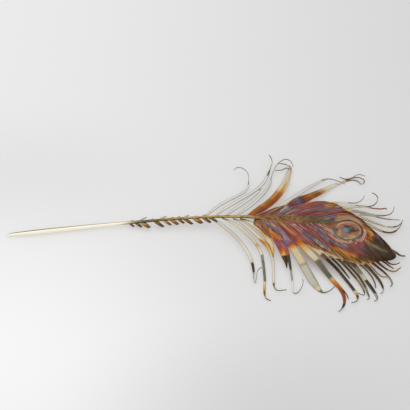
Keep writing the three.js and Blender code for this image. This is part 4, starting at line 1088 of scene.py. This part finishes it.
tipBarb = {
    "points": [
        (366, -14, 2), (374, -20, 2.4), (380, -24, 5.2, 2.6), (384.5, -27.5, 4.6, 2.2),
        (389.5, -28.5, 4.6, 1.6),
    ],
    "left": [(0, "straw")], "bands": [("char", 0, 2.8, 0.85), ("umber", 2.8, 5, 0.6)],
    "ticks": [(2, 5, 0.9)],
}
nearFringe = [
    {
        "points": [
            (257, 6, 5), (263, -4.5, 8), (267, -13, 6.4, 8.4), (270, -21, 5.7, 7.4), (272, -29, 5, 6),
            (273.5, -36, 4.4, 3.2), (274, -42.5, 3.8, 0.8),
        ],
        "mottle": 0.6,
        "left": [
            (0, "gold"), (1, "amber"), (1.9, "russet"), (2.7, "russet"), (3.2, "amber"), (3.7, "gold"),
        ],
        "right": [
            (0, "amber"), (1, "amber"), (1.5, "russet"), (2.1, "violet"), (2.7, "plum"), (3.2, "russet"),
            (3.5, "amber"), (3.8, "gold"),
        ],
        "bands": [("soot", 3.97, 7, 0.97)],
    },
    {
        "points": [
            (268, -9.5, 4), (273.5, -20, 6, 4.6), (276, -31, 5, 3.4), (277.5, -42, 3.6, 2.4),
            (278.5, -53, 2, 1.9), (279, -63, 0.9, 1.5), (279, -68.5, 0.8, 1.2), (281.5, -71, 1, 1.1),
            (285, -69, 2.2, 1.1), (288, -64, 3.6, 1), (289, -59, 5, 0.9), (288, -57, 5.8, 0.8),
        ],
        "onEdge": (6, 8), "left": [(0, "plum"), (1.3, "plum"), (1.7, "amber"), (2, "silver")],
        "right": [(0, "violet"), (1.1, "plum"), (1.6, "russet"), (2, "silver")],
        "bands": [
            ("mauve", 0.5, 1.5, 0.5), ("soot", 1.8, 3.2, 0.95), ("pewter", 3.2, 4.3, 0.75),
            ("pewter", 6.4, 12, 0.8),
        ],
    },
    {
        "points": [
            (273, -8.5, 6), (281, -20, 6.4, 7.8), (287.5, -33, 4.8, 8.2), (294, -47, 2.6, 8.4),
            (299.5, -58, 1, 7.6), (304, -65.5, 0.3, 4.8), (308, -69.5, 0.5, 1.6), (314, -68.5, 2, 1.3),
            (320, -64, 4, 1),
        ],
        "onEdge": (5.4, 6.6), "rim": 0.45,
        "left": [
            (0, "slate"), (0.35, "violet"), (0.6, "plum"), (0.78, "amber"), (0.95, "gold"), (1.2, "straw"),
            (2.3, "straw"), (2.6, "bone"), (4, "bone"), (4.6, "straw"),
        ],
        "bands": [
            ("tan", 1.1, 2.3, 0.3), ("pewter", 2.34, 2.42, 0.5), ("pewter", 2.5, 4.6, 0.28),
            ("moss", 5.3, 9, 0.75),
        ],
    },
    {
        "points": [
            (284, -10.5, 6), (294, -22, 6.4, 7.2), (303.5, -34, 5, 6.4), (311.5, -47, 3.4, 5.4),
            (318.5, -57, 1.8, 4.8), (324.5, -65, 0.6, 4.2), (327.5, -74, 0.3, 3.4), (327.5, -82, 0.4, 2.6),
            (325, -88.5, 1.2, 1.6), (321.5, -93.5, 2.4, 0.8),
        ],
        "onEdge": (7.4, 8.6),
        "left": [
            (0, "plum"), (0.35, "amber"), (0.7, "gold"), (1.3, "straw"), (3.7, "straw"), (4.1, "gold"),
            (4.6, "amber"), (5.2, "russet"), (7, "russet"),
        ],
        "right": [
            (0, "plum"), (0.4, "amber"), (0.9, "gold"), (1.4, "straw"), (3.7, "gold"), (4.2, "amber"),
            (4.8, "russet"), (7, "russet"),
        ],
        "bands": [("moss", 2.05, 3.6, 0.92), ("umber", 5, 7.2, 0.3), ("soot", 7.25, 10, 0.9)],
    },
    {
        "points": [
            (317, -56, 2, 1.2), (322, -59.5, 1.6, 1.6), (326.5, -66, 1.4, 1.4), (330, -72.5, 1.6, 1.2),
            (331.5, -78.5, 2.4, 0.8),
        ],
        "left": [(0, "gold"), (2, "amber"), (4, "russet")], "bands": [("umber", 2.2, 5, 0.75)],
    },
    {
        "points": [
            (296, -15, 4), (306, -23.5, 4.4), (314, -34, 5.4, 3.2), (322, -43.5, 4.2, 2.9),
            (329.5, -54.5, 2.6, 2.8), (336.5, -65, 1, 2.6), (340, -72, 0.4, 2.3), (340.5, -76.5, 0.6, 1.7),
            (339, -80.5, 1.4, 1.2), (334, -83.5, 3, 0.8),
        ],
        "onEdge": (6.6, 7.6),
        "left": [
            (0, "gold"), (1.3, "straw"), (5.4, "straw"), (5.8, "gold"), (6.6, "russet"), (7.4, "silver"),
        ],
        "bands": [("umber", 1.3, 3.2, 0.9), ("soot", 1.9, 5.3, 0.85), ("umber", 6.2, 10, 0.7)],
    },
    {
        "points": [
            (306, -21, 2.4), (315, -27.5, 2.4), (322, -36.5, 4.8, 2), (327.5, -44, 3.9, 1.9),
            (334, -54, 2.4, 0.8),
        ],
        "left": [(0, "straw"), (4, "straw")], "bands": [("umber", 1.1, 1.6, 0.7), ("soot", 1.5, 5, 0.95)],
    },
    {
        "points": [
            (313, -24, 2.8), (322.5, -30, 2.8), (329.5, -39.5, 4.6, 2.2), (336.5, -49, 3.4, 2),
            (343, -58.5, 2, 1.8), (346.5, -66, 0.9, 1.4), (347.5, -71.5, 0.7, 1.2), (345.5, -73, 1.4, 1),
            (341, -72, 3, 0.8),
        ],
        "onEdge": (5, 6), "left": [(0, "gold"), (1, "straw"), (2.4, "gold"), (5, "gold"), (6, "straw")],
        "bands": [("soot", 1.1, 3.5, 0.85), ("moss", 3.6, 5.1, 0.55), ("soot", 5.2, 6.4, 0.8)], "wire": 0.7,
    },
    {
        "points": [
            (319, -26, 2.8), (328.5, -32.5, 2.8), (336, -42.5, 4.2, 2.3), (343.5, -53, 2.7, 2),
            (348.5, -63.5, 1.3, 1.9), (350.5, -70.5, 0.6, 1.5), (351.5, -76, 0.8, 1.2), (349.5, -79, 2, 0.8),
        ],
        "onEdge": (5, 6), "left": [(0, "gold"), (1, "straw"), (3, "gold"), (5, "straw")],
        "bands": [("soot", 1.1, 4, 0.85), ("moss", 4.1, 4.7, 0.7), ("soot", 4.8, 8, 0.75)], "wire": 0.4,
    },
    {
        "points": [
            (327, -29.5, 3.8), (336, -35, 4), (343, -45.5, 4, 3.6), (349, -55.5, 2.5, 3),
            (354.5, -64.5, 1.2, 2.8), (358, -71.5, 0.5, 2.3), (359, -77.5, 0.8, 1.6), (356, -81, 2, 0.9),
        ],
        "onEdge": (5.4, 6.4), "left": [(0, "gold"), (2.6, "straw"), (3, "straw"), (5, "silver")],
        # its sage band is a painted highlight between its dark reflections
        "bands": [
            ("soot", 0.3, 1.6, 0.9), ("moss", 1.65, 2.4, 0.75), ("sage", 2.4, 2.8, 0.6),
            ("soot", 3.1, 4.8, 0.95), ("pewter", 4.9, 8, 0.7),
        ],
    },
    {
        "points": [
            (335, -33, 2.6), (344, -37.5, 2.2), (350.5, -44.5, 3.4, 1.5), (355.5, -52.5, 2.5, 1.3),
            (358, -59.5, 1.7, 1.1), (358.5, -64.5, 1.2, 0.8),
        ],
        "left": [(0, "gold"), (1, "straw")], "bands": [("umber", 1.1, 6, 0.85)],
    },
    {
        "points": [
            (342, -33.5, 3), (351, -39.5, 3), (358, -49, 3, 2.7), (363, -57, 1.7, 2.2),
            (365.5, -64.5, 0.9, 1.6), (365, -69, 1, 1.2), (362.5, -72, 2, 0.8),
        ],
        "onEdge": (3.4, 4.4), "left": [(0, "amber"), (1, "straw"), (3, "straw")],
        "bands": [("soot", 0.8, 4.6, 0.9), ("pewter", 4.7, 7, 0.5)], "wire": 0.3,
    },
    {
        "points": [
            (349, -34, 2), (357, -42, 3.4, 1.2), (361, -48, 2.9, 1.1), (365.5, -52, 2.6, 1),
            (370.5, -53, 3.4, 0.8),
        ],
        "left": [(0, "amber"), (3, "straw")], "bands": [("umber", 0.8, 5, 0.7)],
    },
    {
        "points": [
            (353, -33, 3), (362, -41.5, 3.9, 2.2), (368, -47.5, 3, 1.7), (373, -54, 1.8, 1.4),
            (374.5, -60, 1.6, 1.2), (372.5, -64, 2.6, 0.8),
        ],
        "left": [(0, "amber"), (3, "gold"), (5, "straw")],
        "bands": [("soot", 0.4, 2.3, 0.85), ("moss", 2.3, 3.4, 0.6), ("pewter", 3.4, 6, 0.8)],
    },
    {
        "points": [
            (358, -32, 3), (366, -40, 4.1, 1.9), (371.5, -44.5, 3.4, 1.5), (378, -46, 3.2, 1.3),
            (384, -42, 4.4, 0.9),
        ],
        "left": [(0, "russet"), (2, "gold"), (4, "straw")],
        "bands": [("soot", 0.3, 1.9, 0.9), ("umber", 2, 5, 0.6)],
    },
    {
        "points": [(364, -32, 2), (371, -38, 4, 1.4), (377, -43, 3.4, 0.8)], "left": [(0, "russet")],
        "bands": [("soot", 0, 3, 0.85)],
    },
    {
        "points": [(368, -32, 2), (374, -37.5, 4.2, 1.4), (379, -38, 4, 1.1), (383.5, -36.5, 4.6, 0.8)],
        "left": [(0, "russet"), (3, "straw")], "bands": [("soot", 0, 3.5, 0.8)],
    },
]
crowded = nearFringe[5:]  # these overlap one another
fringe = [
    {**plan, "batch": number, "widen": 1.2 if plan in crowded else 1}
    for number, plan in enumerate([*farFringe, tipBarb, *nearFringe])
]
addPiece("blade_fringe", [strip(plan) for plan in fringe], "barb_steel", "blade")
print("fringe slit")

# Strips fixed singly under the bare shaft.
# Their darkest bands are dark reflections painted into their colour.
farStrips = [
    {
        "points": [
            (194.5, 18.5, 6.5, 1.2), (201, 26, 6.6, 2.8), (209, 34, 6.3, 3.2), (217.5, 41, 5.8, 3.2),
            (228, 48.5, 4.8, 3), (235, 55, 3.8, 2.6), (238.5, 62, 3.2, 1.8), (239, 68.5, 3.1, 1.4),
            (239, 76.5, 3.6, 1.2), (236, 82.5, 4.6, 1.2), (230.5, 85, 5.8, 1.1), (226.5, 83.5, 6.6, 1),
            (224.5, 80, 7.4, 0.8),
        ],
        "onEdge": (6, 7), "left": [(0, "gold"), (0.5, "straw"), (1.4, "silver")],
        "bands": [("soot", 6.5, 7, 0.95)], "wire": 0.5,
    },
    {
        "points": [
            (203.5, 18.5, 7, 1.2), (213.5, 28.5, 6.8, 2.8), (224.5, 38, 6.1, 3.2), (235, 46.5, 5.1, 3.2),
            (246.5, 57, 3.9, 3.2), (254, 67, 2.7, 3), (258.5, 77.5, 2.2, 2.4), (261.5, 86.5, 2.6, 1.8),
            (263.5, 94, 3.6, 1.5), (262.5, 98.5, 5, 1.2), (260.5, 101, 7, 0.8),
        ],
        "onEdge": (6, 7),
        "left": [
            (0, "gold"), (0.5, "straw"), (1.4, "silver"), (6.8, "silver"), (7.3, "gold"), (8.5, "straw"),
        ],
        "bands": [("moss", 6, 7, 0.85), ("umber", 8.2, 11, 0.75)], "wire": 0.3,
    },
    {
        "points": [
            (214, 18, 7.5, 1.2), (223.5, 28, 6.9, 2.6), (233, 37, 6, 3), (242, 46.5, 5.2, 3),
            (248.5, 54, 4.9, 2.4), (251.5, 57.5, 4.9, 1.2),
        ],
        "left": [(0, "gold"), (0.5, "straw"), (1.4, "silver")], "bands": [("pewter", 4.2, 6, 0.5)],
    },
    {
        "points": [
            (224, 17.5, 7.9, 1.2), (233.5, 27, 7.2, 2.8), (242.5, 36, 6.3, 3.2), (250, 46, 5.1, 3.2),
            (257, 57.5, 3.6, 2.8), (261, 67.5, 2.2, 2.2), (262.5, 76.5, 1.6, 1.7), (265, 84.5, 2, 1.5),
            (268.5, 91.5, 2.8, 1.4), (273, 96, 3.6, 1.3), (277.5, 97.5, 4.4, 1.3), (282, 94, 5.4, 1.2),
            (284.5, 85.5, 6.6, 1),
        ],
        "onEdge": (5, 6),
        "left": [(0, "gold"), (0.5, "straw"), (1.4, "silver"), (8, "silver"), (11, "straw")], "wire": 0.45,
    },
    {
        "points": [
            (236.5, 18.5, 7.6, 3), (243.5, 23.5, 7.5, 7), (250.5, 29, 7.3, 9.2), (256.5, 34.5, 6.8, 9.4),
            (263, 42, 6, 9.2), (269.5, 52.5, 4.8, 8.8), (275.5, 65, 3.2, 7.6), (279, 78, 1.6, 5.8),
            (281.5, 86, 0.8, 3.8), (281.5, 90.5, 0.8, 2), (277, 92, 2.6, 1.2), (269.5, 91.5, 5, 0.9),
        ],
        "onEdge": (9, 10), "rim": 0.9, "rimFrom": 0.84, "rimTint": "blush",
        "left": [(0, "russet"), (0.9, "amber"), (1.6, "gold"), (4.6, "gold"), (5.6, "straw"), (7, "straw")],
        "right": [
            (0, "russet"), (1, "russet"), (2.3, "plum"), (3.1, "russet"), (4.3, "russet"), (4.8, "amber"),
            (5.5, "gold"), (6.3, "straw"), (8, "straw"),
        ],
        "mottle": 0.8,
        "bands": [
            ("umber", 0, 5, 0.25), ("umber", 1.2, 2.2, 0.3), ("umber", 3, 3.8, 0.25), ("pewter", 8, 12, 0.4),
        ],
    },
]
sliver = {
    "points": [
        (281, 80, 1, 1.2), (281, 86, 0.6, 1.3), (278.5, 88, 1.6, 1.1), (273, 84, 3.2, 1),
        (266, 81.5, 5, 0.8),
    ],
    "left": [(0, "straw"), (4, "silver")], "bands": [("umber", 1.1, 5, 0.6)],
}
nearStrips = [
    {
        "points": [
            (199, 17.5, 6.7, 1.4), (206.5, 13.5, 6.7, 2.8), (214.5, 6, 6.2, 3.4), (222.5, -1.5, 5.5, 3.6),
            (229, -10, 4.7, 3.6), (234.5, -18.5, 3.8, 3.4), (238.5, -27, 3.1, 3.2), (241, -37, 2.4, 2.8),
            (242, -46, 1.8, 2.2), (242, -53.5, 1.4, 1.6), (243, -58.5, 1.6, 1.4), (244.5, -53.5, 3.2, 1.2),
            (245.5, -47, 4.2, 1.1), (248, -43.5, 5, 1), (251.5, -43.5, 5.8, 0.8),
        ],
        "onEdge": (7.6, 8.6), "left": [(0, "gold"), (0.5, "bone"), (4, "bone")],
        "right": [(0, "gold"), (0.7, "straw"), (3, "bone"), (6, "bone")],
        "bands": [("soot", 6.85, 8, 0.9), ("soot", 8.35, 9, 0.85), ("pewter", 10.6, 15, 0.7)], "wire": 0.3,
    },
    {
        "points": [
            (212, 17, 7.4, 1.4), (220.5, 12.5, 7.2, 2.8), (228, 7, 6.9, 3.2), (233.5, 1.5, 6.5, 3.6),
            (238.5, -4.5, 5.9, 3.6), (243.5, -11.5, 5.2, 3.6), (247.5, -18.5, 4.4, 3.2), (250, -25, 3.6, 3),
            (251, -32, 2.8, 2.8), (252, -43, 1.6, 2.6), (252.5, -55, 0.8, 2.4), (252, -65, 0.4, 2.4),
            (252, -72, 0.5, 1.8), (253.5, -77, 1, 1.3), (257.5, -80.5, 2.2, 0.9),
        ],
        "onEdge": (11.4, 12.6),
        "left": [
            (0, "gold"), (0.5, "bone"), (5, "bone"), (5.5, "gold"), (6.2, "bone"), (7, "bone"),
            (10.2, "straw"), (11.4, "gold"),
        ],
        "right": [
            (0, "gold"), (0.5, "straw"), (5, "straw"), (5.5, "gold"), (6.1, "straw"), (7, "bone"),
            (10.2, "straw"), (11.4, "amber"),
        ],
        "bands": [
            ("pewter", 7.2, 8.1, 0.85), ("moss", 8.1, 10.1, 0.85), ("umber", 11.4, 12.6, 0.6),
            ("soot", 13, 15, 0.8),
        ],
    },
    {
        "points": [
            (222.5, 16, 7.9, 1.4), (229.5, 12.5, 7.6, 2.8), (235.5, 7.5, 7.2, 3.6), (241.5, 1.5, 6.6, 4),
            (247, -5, 5.9, 4.2), (251.5, -10, 5.2, 4.4), (256, -16, 4.5, 4.4), (259, -23, 3.9, 4),
            (260.5, -30.5, 3.2, 3.2), (261, -39, 2.4, 2.6), (261, -49, 1.4, 2.4), (261, -57.5, 0.7, 2.2),
            (261.5, -63.5, 0.8, 1.6), (264, -67.5, 1.6, 1.2), (273, -68.5, 3.6, 0.9),
        ],
        "onEdge": (11, 12),
        "left": [
            (0, "gold"), (0.5, "bone"), (4.6, "bone"), (5.4, "gold"), (6.8, "gold"), (7.6, "straw"),
            (8.6, "bone"), (10.8, "bone"), (11.4, "gold"),
        ],
        "right": [
            (0, "gold"), (0.5, "straw"), (4.2, "straw"), (4.8, "amber"), (5.2, "amber"), (6, "gold"),
            (7.6, "straw"), (8.8, "bone"), (10.8, "straw"), (11.4, "amber"),
        ],
        "bands": [("umber", 11.2, 12.3, 0.75), ("pewter", 12.4, 15, 0.7)],
    },
    {
        "points": [
            (229.5, 15.5, 8.1, 2), (236, 13, 7.9, 3.4), (241.5, 9.5, 7.6, 4.6), (247.5, 4.5, 7.2, 5.4),
            (252, -0.5, 6.8, 5.6), (255.5, -5.5, 6.4, 5.4), (258, -10.5, 6, 5), (260, -16, 5.6, 4.2),
            (261, -22, 5.2, 2.8), (261.5, -28.5, 4.9, 1),
        ],
        "mottle": 0.5,
        "left": [
            (0, "gold"), (0.8, "bone"), (2.4, "bone"), (3.2, "gold"), (4.2, "gold"), (5, "straw"),
            (7, "straw"), (8, "gold"),
        ],
        "right": [
            (0, "gold"), (2, "straw"), (3, "straw"), (4, "gold"), (5, "gold"), (6, "straw"), (7, "gold"),
            (8, "gold"), (9, "amber"),
        ],
    },
]
farLook = {"rim": 0.8, "rimFrom": 0.55}  # their edges are darker
# each strip has a batch number of its own, which keeps its streaks from being another's
for number, plan in enumerate(farStrips, 1):
    solids = [strip({**farLook, **plan, "batch": 40 + number})]
    if plan is farStrips[-1]:
        solids.append(strip(sliver))
    addPiece(f"far_strip_{number}", solids, "barb_steel", f"barb_far_{number}")
for number, plan in enumerate(nearStrips, 1):
    solids = [strip({**plan, "batch": 60 + number})]
    addPiece(f"near_strip_{number}", solids, "barb_steel", f"barb_near_{number}")
print("free strips curled")

studio = {
    "tableHalf": 4,  # metres
    "tableUnder": 0.0002,  # it lies a hair under the feather
    "tableRough": 0.6,
    "tableShine": 0.2,
    "tone": [(0, 0.87), (0.45, 0.81), (1, 0.69)],  # painted light: the floor is brighter on the left than on the right
    "toneSpan": (-55, 445),
    # pools of more and of less light on it: brightness, x, y, half length, half width, strength
    "pools": [
        (0.98, 0, -140, 260, 230, 0.9), (0.58, 270, -220, 240, 150, 0.5), (0.77, 10, 85, 230, 110, 0.6),
    ],
    "shade": {"centre": (303, -27), "reach": (42, 20), "turn": -38, "strength": 0.6},
    "tableLit": (0.485, 0.5, 0.515),  # how much of it is lit, the rest glows through warmer
    "tableGlow": (0.475, 0.457, 0.443),
    "keyPower": 3.6,
    "keySize": 2.6,
    "keyPlace": (-0.8, 0.7, 1.5),
    "roomStrength": 0.97,
    "roomUp": [(0, 0.55), (0.1, 0.8), (0.3, 0.98), (1, 1.0)],  # brightness by height over the horizon
    "roomAcross": [(0, 1.05), (0.5, 1.0), (1, 0.86)],  # from the left to the right
}


def greys(stops):
    return [(place, (tone, tone, tone, 1)) for place, tone in stops]


def addTable():
    half = studio["tableHalf"]
    corners = [(-half, -half, 0), (half, -half, 0), (half, half, 0), (-half, half, 0)]
    mesh = bpy.data.meshes.new("table")
    mesh.from_pydata(corners, [], [(0, 1, 2, 3)])
    table = bpy.data.objects.new("table", mesh)
    table.location.z = -studio["tableUnder"]
    bpy.context.scene.collection.objects.link(table)
    material = bpy.data.materials.new("pale table")
    material.use_nodes = True
    tree = material.node_tree
    shader = tree.nodes["Principled BSDF"]
    place = addNode(tree, "SeparateXYZ", {0: addNode(tree, "TexCoord").outputs["Object"]})
    low, high = [inFrame([x, 0, 0])[0] for x in studio["toneSpan"]]
    across = maths(tree, "SUBTRACT", 1.0, faded(tree, place.outputs["X"], low, high, "LINEAR"))
    tone = ramp(tree, across, greys(studio["tone"]), "B_SPLINE")
    for bright, x, y, long, wide, strength in studio["pools"]:
        away = vectorLength(tree, ovalPlace(tree, (x, y), (long, wide)))
        here = maths(tree, "MULTIPLY", faded(tree, away, 0.0, 1.0), strength)
        tone = mixed(tree, here, tone, (bright, bright, bright, 1))
    # the steel over it throws a warm shade on it
    under = studio["shade"]
    away = vectorLength(tree, ovalPlace(tree, under["centre"], under["reach"], under["turn"]))
    tone = mixed(tree, maths(tree, "MULTIPLY", faded(tree, away, 0.1, 1.0), under["strength"]), tone,
                 solidTint("mauve"))
    lit = addNode(tree, "VectorMath", {0: tone, 1: studio["tableLit"]}, operation="MULTIPLY").outputs[0]
    glow = addNode(tree, "VectorMath", {0: tone, 1: studio["tableGlow"]}, operation="MULTIPLY").outputs[0]
    tree.links.new(lit, shader.inputs["Base Color"])
    tree.links.new(glow, shader.inputs["Emission Color"])
    shader.inputs["Emission Strength"].default_value = 1
    shader.inputs["Roughness"].default_value = studio["tableRough"]
    shader.inputs["Specular IOR Level"].default_value = studio["tableShine"]
    mesh.materials.append(material)


def addKey():
    data = bpy.data.lights.new("key", "AREA")
    data.energy = studio["keyPower"]
    data.size = studio["keySize"]
    key = bpy.data.objects.new("key", data)
    bpy.context.scene.collection.objects.link(key)
    place = Vector(studio["keyPlace"])
    key.location = place
    key.rotation_euler = (-place).to_track_quat("-Z", "Y").to_euler()


def addRoom():
    world = bpy.data.worlds.new("studio")
    world.use_nodes = True
    tree = world.node_tree
    way = addNode(tree, "SeparateXYZ", {0: addNode(tree, "TexCoord").outputs["Generated"]})
    upward = ramp(tree, way.outputs["Z"], greys(studio["roomUp"]))
    side = maths(tree, "MULTIPLY_ADD", way.outputs["X"], 0.5, 0.5)
    light = mixed(tree, 1.0, upward, ramp(tree, side, greys(studio["roomAcross"])), "MULTIPLY")
    background = tree.nodes["Background"]
    tree.links.new(light, background.inputs["Color"])
    background.inputs["Strength"].default_value = studio["roomStrength"]
    bpy.context.scene.world = world


addTable()
addKey()
addRoom()
bpy.context.scene.view_settings.view_transform = "Standard"
print("studio lit")
